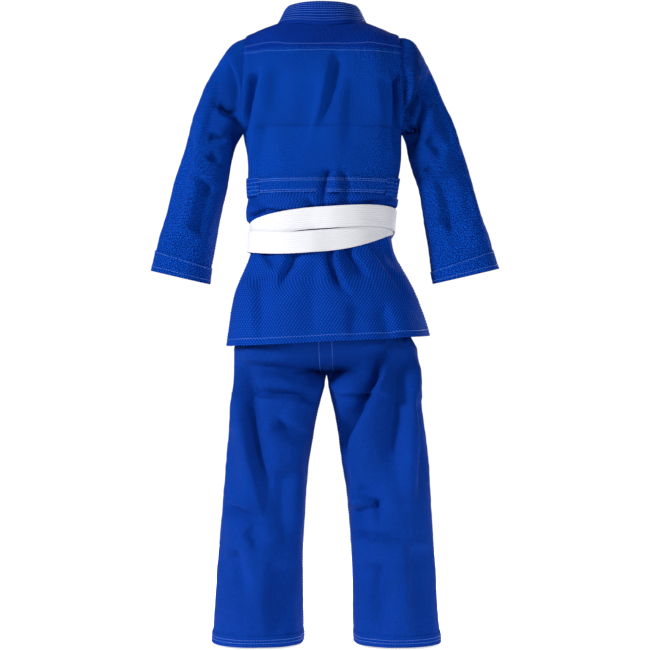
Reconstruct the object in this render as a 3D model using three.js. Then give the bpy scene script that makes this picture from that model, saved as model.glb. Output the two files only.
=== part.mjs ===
// A judo uniform as it is worn: a wrapped cotton jacket, a belt wound twice round the waist and tied in
// front, and loose trousers. Millimetres, +Z up. The wearer faces -Y and the wearer's left is +X.
// The origin is the middle of the neck opening, where the collar is sewn on.
import * as THREE from "three";

// ---- Overall sizes
const JACKET_LENGTH = 632; // neck seam to the middle of the jacket hem
const TROUSER_HEM = 1230; // neck seam down to the trouser hem
const SLEEVE_LENGTH = 500; // shoulder point to the edge of the cuff, along the sleeve

// ---- Cloth and webbing
const JACKET_CLOTH = 2.2; // rice-grain weave
const YOKE_CLOTH = 3.2; // the shoulders are doubled
const SKIRT_CLOTH = 2; // diamond weave
const TROUSER_CLOTH = 1.6; // twill
const TAPE_CLOTH = 1.4; // reinforcement sewn on the outside
const TAPE_EASE = 0.7; // between a reinforcement and the cloth under it
const CUFF_CLOTH = 3.4; // sleeve end turned up and stitched
const COLLAR_CLOTH = 5; // several layers stitched together
const BELT_CLOTH = 3.4;
const SEAM_GAP = 0.4; // two pieces that are sewn edge to edge
const LAYER_EASE = 1.2; // a curved layer lying over another

// ---- Levels down the jacket, from the neck seam
const CHEST = 120;
const ARMPIT = 215;
const YOKE_BACK_SEAM = 60;
const YOKE_FRONT_SEAM = 78;
const WAIST_SEAM = 328;
const WAIST_TAPE_HEIGHT = 30;
const FLAP_TOP = 462; // just under the belt, where the skirt starts to swing

// ---- Neck, collar and lapels
const NECK_HALF_WIDTH = 85;
const NECK_BACK_DEPTH = 62;
const RIDGE_RISE = 14; // the shoulder line, carried on to the middle of the neck, stands this far up
const RIDGE_POWER = 1.93; // how the shoulder line falls away from the neck
const COLLAR_WIDTH = 45;
const COLLAR_LEAN = 12; // the standing collar leans in this far at the top
const COLLAR_EASE = 1; // gap between the collar and the cut edge of the front yoke
const COLLAR_SEAT = 5.4; // height of the collar's lower edge above the cut edge of the yoke
const LAPEL_CLOTH_WIDTH = 45;
const LAPEL_SLOPE = 0.324; // how far a lapel moves across the chest for each millimetre down
const LAPELS_CROSS = 222; // level where the two lapels meet
const LAPEL_SKIRT_SLOPE = 0.2; // below the belt the front edges hang more upright

// ---- Torso cross-sections: [level, half width, half depth, middle]
const ROUNDNESS = 2.4; // exponent of the superellipse of every level section
const SHOULDER_HALF_WIDTH = 152;
const ARMHOLE_HALF_DEPTH = 62;
const CHEST_HALF_DEPTH = 105;
const ARMPIT_HALF_WIDTH = 157;
const ARMPIT_HALF_DEPTH = 107;
const WAIST_HALF_WIDTH = 146.5;
const WAIST_HALF_DEPTH = 101;
const BELT_LEVEL = 412; // where the belt draws the jacket in the most
const BELT_HALF_WIDTH = 137;
const BELT_HALF_DEPTH = 96;
const FLAP_TOP_HALF_WIDTH = 143;
const FLAP_TOP_HALF_DEPTH = 99;
const SIDE_FLARE = 58 / 170; // how far each side of the skirt moves out for each millimetre down
const DEPTH_FLARE = 39 / 170; // the same at the front and back
const HEM_HALF_WIDTH = FLAP_TOP_HALF_WIDTH + SIDE_FLARE * (JACKET_LENGTH - FLAP_TOP);
const HEM_HALF_DEPTH = FLAP_TOP_HALF_DEPTH + DEPTH_FLARE * (JACKET_LENGTH - FLAP_TOP);
const FLARE = { down: 0.47, wide: 0.63 }; // most of the skirt's flare is in the upper half of the flaps
const BLOUSE_SHIFT = -4; // the middle of the section below the armpits, away from the wearer's left
const HEM_SHIFT = -11; // the same at the hem

// ---- Belt
const BELT_WIDTH = 42;
const BELT_BACK_GAP = 2.5; // between the two turns at the back, where they change places
const BELT_UPPER_LEVEL = { left: 423, back: 391.5, right: 396, front: 430 };
const lowerBack = BELT_UPPER_LEVEL.back + BELT_WIDTH + BELT_BACK_GAP;
const BELT_LOWER_LEVEL = { left: 434, back: lowerBack, right: 398, front: 432 };
const BELT_END_ANGLE = 9; // degrees from the front middle to the end of each turn, under the knot
const KNOT_PRESS = 1; // the knot pulls the turns under it this much tighter
const KNOT_SIZE = { width: 66, height: BELT_WIDTH + 4, depth: 27 };
const KNOT_ROUNDNESS = 0.6; // 1 would be an ellipsoid, less is squarer
const TAIL_LENGTH = 215;
const TAIL_TUCK = 1; // the knot's rounded edge hides this much of a tail
const TAIL_SPREAD = 0.24; // how far a tail moves sideways for each millimetre down

// ---- Sleeves, seen from the front: points down the outer and inner edge [sideways, level]
const SLEEVE_LEFT = {
  side: 1,
  outer: [[197, 64], [252, 176], [301, 350]],
  inner: [[177, 245], [191, 320], [212, 410]],
  cuff: { angle: 22.1, width: 113 },
};
const SLEEVE_RIGHT = {
  side: -1,
  outer: [[193, 55], [263, 210], [309, 360]],
  inner: [[171, 262], [194, 330], [211, 430]],
  cuff: { angle: 23.3, width: 128 },
};
const SLEEVE_HALF_DEPTH = 52;
const CUFF_LENGTH = 46;
const CUFF_TILT = 13; // degrees that the edge of a cuff drops towards the body

// ---- Trousers: waist, seat and legs. Leg stops are [level, inner edge, outer edge], +X to the left.
const TROUSER_WAIST = 405;
const WAISTBAND_HEIGHT = 34;
const LOOP = { width: 9, cloth: 1.6, inset: 6, fromMiddle: 22 }; // for the drawstring
const WAIST_EASE = 0.6; // between the waistband and the jacket that the belt presses on it
const WAISTBAND_HALF_WIDTH = BELT_HALF_WIDTH - 2 * TROUSER_CLOTH - WAIST_EASE;
const WAISTBAND_HALF_DEPTH = BELT_HALF_DEPTH - 2 * TROUSER_CLOTH - 3;
const SEAT_HALF_WIDTH = 178;
const SEAT_HALF_DEPTH = 112;
const CROTCH = 690; // level of the lowest point of the seat, and of the axis that the legs swing on
const LEG_OVERLAP = 6; // the top of a leg reaches this far up inside the seat
const LEG_SWING = 15; // degrees each way that the seat leaves room for
const LEG_TOP = CROTCH + 30; // straight down to here, so that a swinging leg stays clear of the seat
const KNEE = 950;
const LEG_LEFT = [
  [LEG_TOP, -3.6, 176],
  [802, 18, 185],
  [KNEE, 37, 197],
  [1120, 42, 210],
  [TROUSER_HEM, 40, 218],
];
const LEG_RIGHT = [
  [LEG_TOP, -12.4, -191],
  [802, -31, -203],
  [KNEE, -53, -215],
  [1120, -62, -226],
  [TROUSER_HEM, -65, -234],
];
const THIGH_HALF_DEPTH = 102;
const KNEE_HALF_DEPTH = 86;
const HEM_LEG_HALF_DEPTH = 78;
const HEM_BAND_HEIGHT = 22;
const KNEE_PATCH = { top: 790, bottom: 1015 };

// ---- Small helpers
const cosPower = (angle) => Math.sign(Math.cos(angle)) * Math.abs(Math.cos(angle)) ** (2 / ROUNDNESS);
const sinPower = (angle) => Math.sign(Math.sin(angle)) * Math.abs(Math.sin(angle)) ** (2 / ROUNDNESS);
const mix = THREE.MathUtils.lerp;
const rise = (value, from, to) => THREE.MathUtils.smoothstep((value - from) / (to - from), 0, 1);
const degrees = THREE.MathUtils.degToRad;

// Numbers from a to b in equal steps, both ends included.
const steps = (a, b, count) => Array.from({ length: count + 1 }, (_, i) => mix(a, b, i / count));

// A smooth value down a list of [level, value] stops, held flat beyond both ends.
function along(stops) {
  const slope = stops.map((_, i) => {
    const [before, after] = [stops[Math.max(i - 1, 0)], stops[Math.min(i + 1, stops.length - 1)]];
    return (after[1] - before[1]) / (after[0] - before[0]);
  });
  return (level) => {
    if (level <= stops[0][0]) return stops[0][1];
    if (level >= stops.at(-1)[0]) return stops.at(-1)[1];
    const i = stops.findIndex((stop) => stop[0] > level) - 1;
    const length = stops[i + 1][0] - stops[i][0];
    const s = (level - stops[i][0]) / length;
    const [a, b] = [stops[i][1], stops[i + 1][1]];
    const curve = (2 * s ** 3 - 3 * s ** 2 + 1) * a + (3 * s ** 2 - 2 * s ** 3) * b;
    return curve + length * ((s ** 3 - 2 * s ** 2 + s) * slope[i] + (s ** 3 - s ** 2) * slope[i + 1]);
  };
}

const cloth = {
  jacket: new THREE.MeshStandardMaterial({ color: 0x0a46ad, roughness: 0.9, metalness: 0 }),
  skirt: new THREE.MeshStandardMaterial({ color: 0x0b44a6, roughness: 0.9, metalness: 0 }),
  trousers: new THREE.MeshStandardMaterial({ color: 0x1748a4, roughness: 0.85, metalness: 0 }),
  belt: new THREE.MeshStandardMaterial({ color: 0xeaeaec, roughness: 0.8, metalness: 0 }),
};

const uniform = new THREE.Group();

// A closed piece of cloth. at(column, row, offset) gives a point on the surface, offset outwards by so
// many millimetres; columns and rows are the parameter values at its grid lines.
function sheet(name, material, columns, rows, at, inside, outside) {
  const box = new THREE.BoxGeometry(1, 1, 1, columns.length - 1, rows.length - 1, 1);
  const { position } = box.attributes;
  for (let i = 0; i < position.count; i++) {
    const column = columns[Math.round((position.getX(i) + 0.5) * (columns.length - 1))];
    const row = rows[Math.round((0.5 - position.getY(i)) * (rows.length - 1))];
    const point = at(column, row, position.getZ(i) > 0 ? outside : inside);
    position.setXYZ(i, point.x, point.y, point.z);
  }
  box.deleteAttribute("uv");
  return addPiece(name, material, box);
}

function addPiece(name, material, geometry) {
  if (volume(geometry) < 0) {
    const { array } = geometry.index;
    for (let i = 0; i < array.length; i += 3) [array[i], array[i + 1]] = [array[i + 1], array[i]];
  }
  geometry.computeVertexNormals();
  const piece = new THREE.Mesh(geometry, material);
  piece.name = name;
  uniform.add(piece);
  return piece;
}

// Signed volume of an indexed geometry; negative when its faces point inwards.
function volume(geometry) {
  const { position } = geometry.attributes;
  const [a, b, c] = [new THREE.Vector3(), new THREE.Vector3(), new THREE.Vector3()];
  let sum = 0;
  for (let i = 0; i < geometry.index.count; i += 3) {
    [a, b, c].forEach((corner, k) => corner.fromBufferAttribute(position, geometry.index.getX(i + k)));
    sum += a.dot(b.cross(c)) / 6;
  }
  return sum;
}

// ---- The torso surface
const ridge = (x) => RIDGE_RISE * (1 - (Math.abs(x) / NECK_HALF_WIDTH) ** RIDGE_POWER); // height, not level
const SHOULDER_RIDGE = ridge(SHOULDER_HALF_WIDTH);
const armholeAngle = Math.asin((ARMHOLE_HALF_DEPTH / CHEST_HALF_DEPTH) ** (ROUNDNESS / 2));
const CHEST_HALF_WIDTH = SHOULDER_HALF_WIDTH / cosPower(armholeAngle);
const halfWidth = along([
  [CHEST, CHEST_HALF_WIDTH],
  [ARMPIT, ARMPIT_HALF_WIDTH],
  [WAIST_SEAM, WAIST_HALF_WIDTH],
  [BELT_LEVEL, BELT_HALF_WIDTH],
  [FLAP_TOP, FLAP_TOP_HALF_WIDTH],
  [mix(FLAP_TOP, JACKET_LENGTH, FLARE.down), mix(FLAP_TOP_HALF_WIDTH, HEM_HALF_WIDTH, FLARE.wide)],
  [JACKET_LENGTH, HEM_HALF_WIDTH],
]);
const halfDepth = along([
  [CHEST, CHEST_HALF_DEPTH],
  [ARMPIT, ARMPIT_HALF_DEPTH],
  [WAIST_SEAM, WAIST_HALF_DEPTH],
  [BELT_LEVEL, BELT_HALF_DEPTH],
  [FLAP_TOP, FLAP_TOP_HALF_DEPTH],
  [JACKET_LENGTH, HEM_HALF_DEPTH],
]);
const middle = along([
  [CHEST, 0],
  [ARMPIT, 0],
  [mix(ARMPIT, WAIST_SEAM, 0.5), BLOUSE_SHIFT],
  [WAIST_SEAM, 0],
  [BELT_LEVEL, 2],
  [JACKET_LENGTH, HEM_SHIFT],
]);

// A point of the torso above the chest: angle round the body, lift from 0 on the shoulder line to a
// quarter turn at the chest. The offset is outwards.
function shoulderPoint(angle, lift, offset) {
  const x = middle(CHEST) + CHEST_HALF_WIDTH * cosPower(angle);
  const y = (CHEST_HALF_DEPTH + offset) * sinPower(angle) * Math.sin(lift);
  const z = -CHEST + (ridge(x) + CHEST + offset) * Math.cos(lift);
  return new THREE.Vector3(x + offset * cosPower(angle) * Math.sin(lift), y, z);
}

// The lift at which the shoulder surface reaches a level, above that angle.
function liftAt(angle, level) {
  const x = middle(CHEST) + CHEST_HALF_WIDTH * cosPower(angle);
  return Math.acos((CHEST - level) / (CHEST + ridge(x)));
}

// A point of the torso at any level below the yoke.
function torsoPoint(angle, level, offset) {
  if (level < CHEST) return shoulderPoint(angle, liftAt(angle, level), offset);
  const x = middle(level) + (halfWidth(level) + offset) * cosPower(angle);
  return new THREE.Vector3(x, (halfDepth(level) + offset) * sinPower(angle), -level);
}

// Half the front-to-back size of the armhole at a level.
function armholeDepth(level) {
  const top = -SHOULDER_RIDGE;
  const [up, down] = [(CHEST - level) / (CHEST - top), (level - CHEST) / (ARMPIT - CHEST)];
  if (level < CHEST) return ARMHOLE_HALF_DEPTH * Math.sqrt(Math.max(0, 1 - up ** 2));
  return ARMHOLE_HALF_DEPTH * Math.max(0, 1 - down ** 2.5) ** 0.4;
}

// Angle of the armhole edge, or of the side seam below the armpit, where a panel of the torso ends.
function sideAngle(level) {
  const seam = Math.asin((SEAM_GAP / 2 / halfDepth(level)) ** (ROUNDNESS / 2));
  if (level >= ARMPIT) return seam;
  if (level <= CHEST) return armholeAngle;
  return Math.max(seam, Math.asin((armholeDepth(level) / halfDepth(level)) ** (ROUNDNESS / 2)));
}

// How far from the middle the flat plane of the armhole stands, where the sleeve is sewn on.
const ARMHOLE_FOOT = ARMPIT_HALF_WIDTH + JACKET_CLOTH + SEAM_GAP;
const armholePlane = (level) => mix(SHOULDER_HALF_WIDTH, ARMHOLE_FOOT, rise(level, 20, ARMPIT));

// The same point, drawn out to the plane of the armhole near that edge and never past it.
function meetArmhole(point, level, share) {
  if (level >= ARMPIT) return point;
  const limit = armholePlane(level) - SEAM_GAP;
  const side = Math.sign(point.x);
  const drawn = mix(Math.abs(point.x), limit, rise(share, 0.8, 1));
  point.x = side * Math.min(drawn, limit);
  return point;
}

// ---- Front edges. side is 1 for the wearer's left front, -1 for the right.
const freeEdge = (level) =>
  level < FLAP_TOP
    ? LAPEL_SLOPE * (LAPELS_CROSS - level)
    : LAPEL_SLOPE * (LAPELS_CROSS - FLAP_TOP) - LAPEL_SKIRT_SLOPE * (level - FLAP_TOP);
const sewnEdge = (level) => freeEdge(level) + LAPEL_CLOTH_WIDTH / Math.cos(Math.atan(LAPEL_SLOPE));

// The angle on the front of the body, from -180 to 0 degrees, of a point at x.
function frontAngle(x, level) {
  const share = (x - middle(level)) / (level < CHEST ? CHEST_HALF_WIDTH : halfWidth(level));
  const angle = Math.acos(Math.sign(share) * Math.abs(share) ** (ROUNDNESS / 2));
  return -angle;
}

// The left front lies over the right one: it stands off the body where the two cross.
const OVERLAP_LIFT = COLLAR_CLOTH + LAYER_EASE;
const LIFT_FADE = 38; // width over which the left front comes back down to the body
function leftLift(x, level) {
  const rightEdge = -freeEdge(Math.max(level, LAPELS_CROSS));
  const inward = rise(rightEdge + LIFT_FADE - x, 0, LIFT_FADE - 5);
  return OVERLAP_LIFT * rise(level, CHEST, LAPELS_CROSS - 10) * inward;
}

function frontPoint(side, x, level, offset) {
  const lift = side > 0 ? leftLift(x, level) : 0;
  return torsoPoint(frontAngle(x, level), level, offset + lift);
}

// ---- Jacket body
const backRows = [...steps(YOKE_BACK_SEAM, ARMPIT, 6), ...steps(ARMPIT, WAIST_SEAM, 3).slice(1)];
const acrossBack = steps(-1, 1, 18); // -1 at the wearer's left edge, 1 at the right
function backPoint(across, level, offset) {
  const side = sideAngle(level);
  const point = torsoPoint(mix(side, Math.PI - side, (across + 1) / 2), level, offset);
  return meetArmhole(point, level, Math.abs(across));
}
sheet("upper_back", cloth.jacket, acrossBack, backRows, backPoint, 0, JACKET_CLOTH);

// The lift at which the yoke is cut away for the neck, or meets the other yoke on the shoulder line.
function neckLift(angle) {
  const x = middle(CHEST) + CHEST_HALF_WIDTH * cosPower(angle);
  const depth = CHEST_HALF_DEPTH * sinPower(Math.abs(angle));
  const seam = Math.asin(SEAM_GAP / 2 / depth);
  const share = Math.min(1, Math.abs(x) / NECK_HALF_WIDTH);
  return Math.max(seam, Math.asin((NECK_BACK_DEPTH * Math.sqrt(1 - share ** 2)) / depth));
}
function yokeBackPoint(across, down, offset) {
  const angle = mix(armholeAngle, Math.PI - armholeAngle, (across + 1) / 2);
  const lowest = liftAt(angle, YOKE_BACK_SEAM - 2 * SEAM_GAP);
  const point = shoulderPoint(angle, mix(neckLift(angle), lowest, down), offset);
  return meetArmhole(point, -point.z, Math.abs(across));
}
sheet("yoke_back", cloth.jacket, acrossBack, steps(0, 1, 4), yokeBackPoint, 0, YOKE_CLOTH);

// The front yoke runs from the shoulder line down the chest, between the collar and the armhole.
const NECK_CURVE = 7; // how far the cut edge of the front yoke bows out from a straight line
const neckAtFront = (down) =>
  mix(NECK_HALF_WIDTH, sewnEdge(YOKE_FRONT_SEAM), down) + NECK_CURVE * Math.sin(Math.PI * down);
function yokeFrontPoint(side, outward, down, offset) {
  const inner = frontAngle(side * (neckAtFront(down) + COLLAR_EASE), CHEST);
  const outer = side > 0 ? -armholeAngle : armholeAngle - Math.PI;
  const angle = mix(inner, outer, outward);
  const seam = Math.asin(SEAM_GAP / 2 / (CHEST_HALF_DEPTH * sinPower(Math.abs(angle))));
  const lowest = liftAt(angle, YOKE_FRONT_SEAM - SEAM_GAP);
  const point = shoulderPoint(angle, mix(seam, lowest, down), offset);
  return meetArmhole(point, -point.z, outward);
}

function frontPanelPoint(side, outward, level, offset) {
  const inner = side * (sewnEdge(level) + SEAM_GAP);
  const edge = side > 0 ? -sideAngle(level) : sideAngle(level) - Math.PI;
  const angle = mix(frontAngle(inner, level), edge, outward);
  const x = torsoPoint(angle, level, 0).x;
  const lift = side > 0 ? leftLift(x, level) : 0;
  return meetArmhole(torsoPoint(angle, level, offset + lift), level, outward);
}
function lapelPoint(side, across, level, offset) {
  return frontPoint(side, side * mix(freeEdge(level), sewnEdge(level), across), level, offset);
}
const acrossFront = steps(0, 1, 12);
const frontRows = [...steps(YOKE_FRONT_SEAM, ARMPIT, 5), ...steps(ARMPIT, WAIST_SEAM, 4).slice(1)];
const lapelRows = steps(YOKE_FRONT_SEAM, FLAP_TOP - SEAM_GAP, 12);
for (const [side, name] of [[1, "left"], [-1, "right"]]) {
  sheet(`yoke_front_${name}`, cloth.jacket, steps(0, 1, 6), steps(0, 1, 5),
    (outward, down, offset) => yokeFrontPoint(side, outward, down, offset), 0, YOKE_CLOTH);
  sheet(`front_${name}`, cloth.jacket, acrossFront, frontRows,
    (outward, level, offset) => frontPanelPoint(side, outward, level, offset), 0, JACKET_CLOTH);
  sheet(`lapel_${name}`, cloth.jacket, steps(0, 1, 2), lapelRows,
    (across, level, offset) => lapelPoint(side, across, level, offset), 0, COLLAR_CLOTH);
}

// ---- Collar: a band from one lapel round the back of the neck to the other
function collarCurve(points) {
  const half = points.map(([x, y, z]) => new THREE.Vector3(x, y, z));
  const other = half.slice(1).map((point) => new THREE.Vector3(-point.x, point.y, point.z)).reverse();
  return new THREE.CatmullRomCurve3([...other, ...half]);
}
const lapelTop = (x) => frontPoint(-1, x, YOKE_FRONT_SEAM - 1, COLLAR_CLOTH / 2);
const [sewnEnd, freeEnd] = [lapelTop(sewnEdge(YOKE_FRONT_SEAM)), lapelTop(freeEdge(YOKE_FRONT_SEAM))];
const neckBack = RIDGE_RISE - 19;
const collarSewn = collarCurve([
  [0, NECK_BACK_DEPTH, neckBack + COLLAR_SEAT],
  [52, NECK_BACK_DEPTH - 12, neckBack + COLLAR_SEAT + 3],
  [NECK_HALF_WIDTH - 1, 0, COLLAR_SEAT + 1],
  [NECK_HALF_WIDTH + 4, -42, -13],
  [sewnEnd.x, sewnEnd.y, sewnEnd.z],
]);
const collarTop = neckBack + COLLAR_WIDTH - 2;
const collarFree = collarCurve([
  [0, NECK_BACK_DEPTH - COLLAR_LEAN, collarTop],
  [44, NECK_BACK_DEPTH - COLLAR_LEAN - 12, collarTop - 1],
  [NECK_HALF_WIDTH - COLLAR_LEAN - 1, -2, collarTop - 6],
  [NECK_HALF_WIDTH - 26, -56, -4],
  [freeEnd.x, freeEnd.y, freeEnd.z],
]);
function collarPoint(t, up, offset) {
  const [sewn, free] = [collarSewn.getPoint(t), collarFree.getPoint(t)];
  const tangent = collarSewn.getTangent(t);
  const outward = tangent.cross(free.clone().sub(sewn)).normalize().negate();
  return sewn.lerp(free, up).addScaledVector(outward, offset);
}
sheet("collar", cloth.jacket, steps(0, 1, 24), steps(0, 1, 2), collarPoint,
  -COLLAR_CLOTH / 2, COLLAR_CLOTH / 2);

// ---- Waist: a stitched tape across the back, and a gathered patch at each side seam
const tapeRows = [WAIST_SEAM - WAIST_TAPE_HEIGHT / 2, WAIST_SEAM + WAIST_TAPE_HEIGHT / 2];
const PATCH_TURN = degrees(38);
const tapeInside = JACKET_CLOTH + TAPE_EASE;
sheet("waist_tape", cloth.jacket, steps(PATCH_TURN, Math.PI - PATCH_TURN, 14), tapeRows,
  torsoPoint, tapeInside, tapeInside + TAPE_CLOTH);
const patchRows = steps(tapeRows[0] - 4, tapeRows[1] + 4, 2);
const patchSlack = degrees(0.5);
const patchWrap = degrees(4); // how far a patch reaches round the side seam to the front
for (const [name, from, to] of [
  ["left", -patchWrap, PATCH_TURN - patchSlack],
  ["right", Math.PI - PATCH_TURN + patchSlack, Math.PI + patchWrap],
])
  sheet(`side_patch_${name}`, cloth.jacket, steps(from, to, 6), patchRows, torsoPoint,
    tapeInside, tapeInside + TAPE_CLOTH);

// ---- Skirt: fixed under the belt, then a back flap and two front flaps that swing
const skirtRows = steps(WAIST_SEAM + SEAM_GAP, FLAP_TOP - SEAM_GAP, 5);
const flapRows = steps(FLAP_TOP, JACKET_LENGTH, 6);
sheet("skirt_back_top", cloth.skirt, acrossBack, skirtRows, backPoint, 0, SKIRT_CLOTH);
sheet("skirt_back", cloth.skirt, acrossBack, flapRows, backPoint, 0, SKIRT_CLOTH);
for (const [side, name] of [[1, "left"], [-1, "right"]]) {
  const at = (outward, level, offset) => frontPanelPoint(side, outward, level, offset);
  sheet(`skirt_front_${name}_top`, cloth.skirt, acrossFront, skirtRows, at, 0, SKIRT_CLOTH);
  sheet(`skirt_front_${name}`, cloth.skirt, acrossFront, flapRows, at, 0, SKIRT_CLOTH);
  sheet(`lapel_end_${name}`, cloth.jacket, steps(0, 1, 2), flapRows,
    (across, level, offset) => lapelPoint(side, across, level, offset), 0, COLLAR_CLOTH);
}

// ---- Belt: two turns round the waist, a flat knot and two tails
// A level that goes smoothly through four given levels round the body.
function roundTheBody({ left, back, right, front }) {
  const [mean, twist] = [(left + back + right + front) / 4, (left - back + right - front) / 4];
  return (angle) => mean + ((left - right) / 2) * Math.cos(angle) + ((back - front) / 2) * Math.sin(angle)
    + twist * Math.cos(2 * angle);
}
const BELT_EASE = 0.8; // between the cloth and the belt, and between its two turns
const BELT_STEP = BELT_CLOTH + BELT_EASE;
const overFront = (angle) => 2 * OVERLAP_LIFT * rise(-Math.sin(angle), 0.1, 0.75);
function beltTurn(name, levels, outerShare) {
  const centre = roundTheBody(levels);
  const end = degrees(BELT_END_ANGLE);
  const turn = steps(-Math.PI / 2 + end, 1.5 * Math.PI - end, 42);
  sheet(name, cloth.belt, turn, steps(-BELT_WIDTH / 2, BELT_WIDTH / 2, 2),
    (angle, across, offset) => {
      const base = JACKET_CLOTH + BELT_EASE + overFront(angle) + BELT_STEP * outerShare(angle);
      return torsoPoint(angle, centre(angle) + across, base + offset);
    }, 0, BELT_CLOTH);
}
const changeOver = (angle) => rise(angle, degrees(84), degrees(96));
beltTurn("belt_wrap_upper", BELT_UPPER_LEVEL, changeOver);
beltTurn("belt_wrap_lower", BELT_LOWER_LEVEL, (angle) => 1 - changeOver(angle));

const knotLevel = (BELT_UPPER_LEVEL.front + BELT_LOWER_LEVEL.front) / 2;
const knotBack = 2 * OVERLAP_LIFT + JACKET_CLOTH + 2 * BELT_STEP - KNOT_PRESS;
const knotY = -(halfDepth(knotLevel) + knotBack + KNOT_SIZE.depth / 2);
const knotShape = new THREE.SphereGeometry(1, 20, 12);
const soften = (value, exponent) => Math.sign(value) * Math.abs(value) ** exponent;
for (let i = 0; i < knotShape.attributes.position.count; i++) {
  const point = new THREE.Vector3().fromBufferAttribute(knotShape.attributes.position, i);
  const [x, y, z] = point.toArray().map((value) => soften(value, KNOT_ROUNDNESS));
  knotShape.attributes.position.setXYZ(i, x, y, z);
}
knotShape.scale(KNOT_SIZE.width / 2, KNOT_SIZE.depth / 2, KNOT_SIZE.height / 2);
knotShape.translate(middle(knotLevel), knotY, -knotLevel);
addPiece("belt_knot", cloth.belt, knotShape);

const tailTop = knotLevel + KNOT_SIZE.height / 2 - TAIL_TUCK;
const tailRows = steps(tailTop, tailTop + TAIL_LENGTH, 8);
const tailAcross = [-BELT_WIDTH / 2, BELT_WIDTH / 2];
for (const [side, name] of [[1, "left"], [-1, "right"]])
  sheet(`belt_tail_${name}`, cloth.belt, tailAcross, tailRows, (across, level, offset) => {
    const down = level - tailTop;
    const x = middle(knotLevel) + side * (BELT_WIDTH / 2 + 1 + TAIL_SPREAD * down) + across;
    const turned = side * TAIL_SPREAD * across * rise(down, 0, 60);
    return new THREE.Vector3(x, -(halfDepth(level) + knotBack + offset), -level - turned);
  }, 0, BELT_CLOTH);

// ---- Sleeves: tubes from the armhole to the cuff
const armholeTop = -SHOULDER_RIDGE;
function sleeveTube({ side, outer, inner, cuff }) {
  // The cuff's edge, a sleeve's length from the shoulder, square to the last stretch of the sleeve.
  const slant = degrees(cuff.angle);
  const cuffX = SHOULDER_HALF_WIDTH + SLEEVE_LENGTH * Math.sin(slant);
  const cuffOuter = [cuffX, armholeTop + SLEEVE_LENGTH * Math.cos(slant)];
  const tilt = degrees(CUFF_TILT);
  const cuffInner = [cuffX - cuff.width * Math.cos(tilt), cuffOuter[1] + cuff.width * Math.sin(tilt)];
  const curve = (points) => new THREE.SplineCurve(points.map(([x, level]) => new THREE.Vector2(x, level)));
  const top = curve([[armholePlane(armholeTop), armholeTop], ...outer, cuffOuter]);
  const bottom = curve([[armholePlane(ARMPIT), ARMPIT], ...inner, cuffInner]);
  return (turn, down, offset) => {
    const [a, b] = [top.getPoint(down), bottom.getPoint(down)];
    const [centre, half] = [a.clone().add(b).multiplyScalar(0.5), a.clone().sub(b).multiplyScalar(0.5)];
    const stretch = 1 + offset / half.length();
    const round = rise(down, 0, 0.35);
    const bulge = mix(Math.cos(turn), cosPower(turn), round) * stretch;
    const edge = centre.clone().addScaledVector(half, bulge);
    if (down === 0) edge.x = armholePlane(edge.y);
    const armhole = Math.sign(Math.sin(turn)) * armholeDepth(centre.y + half.y * Math.cos(turn));
    const depth = mix(armhole, SLEEVE_HALF_DEPTH * sinPower(turn), round) + offset * sinPower(turn);
    return new THREE.Vector3(side * edge.x, depth, -edge.y);
  };
}
const seamTurn = degrees(0.25);
const roundSleeve = steps(-Math.PI + seamTurn, Math.PI - seamTurn, 20);
for (const [shape, name] of [[SLEEVE_LEFT, "left"], [SLEEVE_RIGHT, "right"]]) {
  const tube = sleeveTube(shape);
  const cuffStart = 1 - CUFF_LENGTH / SLEEVE_LENGTH;
  const cuffGap = SEAM_GAP / SLEEVE_LENGTH;
  const sleeveRows = [...steps(0, 0.3, 5), ...steps(0.3, cuffStart, 5).slice(1)];
  sheet(`sleeve_${name}`, cloth.jacket, roundSleeve, sleeveRows, tube, 0, JACKET_CLOTH);
  sheet(`cuff_${name}`, cloth.jacket, roundSleeve, steps(cuffStart + cuffGap, 1, 1), tube, 0, CUFF_CLOTH);
}

// ---- Trousers: legs, then the seat that joins them, then the waistband
const legHalfDepth = along([
  [LEG_TOP, THIGH_HALF_DEPTH],
  [KNEE, KNEE_HALF_DEPTH],
  [TROUSER_HEM, HEM_LEG_HALF_DEPTH],
]);
function legTube(stops) {
  const inner = along(stops.map(([level, x]) => [level, x]));
  const outer = along(stops.map(([level, , x]) => [level, x]));
  return (angle, level, offset, roomX = 0, roomY = 0) => {
    const [a, b] = [inner(level), outer(level)];
    const half = Math.abs(b - a) / 2 + offset + roomX;
    const depth = legHalfDepth(level) + offset + roomY;
    return new THREE.Vector3((a + b) / 2 + half * cosPower(angle), depth * sinPower(angle), -level);
  };
}
const legSeam = degrees(0.06);
const backTurn = steps(legSeam, Math.PI - legSeam, 12);
const frontTurn = steps(legSeam - Math.PI, -legSeam, 12);
const kneeRows = steps(KNEE_PATCH.top, KNEE_PATCH.bottom, 4);
const lowerRows = steps(KNEE_PATCH.bottom, TROUSER_HEM - HEM_BAND_HEIGHT - SEAM_GAP, 3).slice(1);
const thighRows = [CROTCH - LEG_OVERLAP, LEG_TOP, mix(CROTCH, KNEE_PATCH.top, 0.4)];
const legRows = [...thighRows, ...kneeRows, ...lowerRows];
const hemRows = [TROUSER_HEM - HEM_BAND_HEIGHT, TROUSER_HEM];
const patchInside = TROUSER_CLOTH + TAPE_EASE;
const seatTop = TROUSER_WAIST;
const seatShape = (waist, seat) => along([
  [seatTop, waist - 2],
  [FLAP_TOP, waist],
  [mix(seatTop, CROTCH, 0.6), waist + 16],
  [mix(seatTop, CROTCH, 0.85), seat],
]);
const seatHalfWidth = seatShape(WAISTBAND_HALF_WIDTH, SEAT_HALF_WIDTH);
const seatHalfDepth = seatShape(WAISTBAND_HALF_DEPTH, SEAT_HALF_DEPTH);
const seatMiddle = along([[FLAP_TOP, 2], [CROTCH, -8]]);
const legRoomX = TROUSER_CLOTH + SEAM_GAP;
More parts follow.
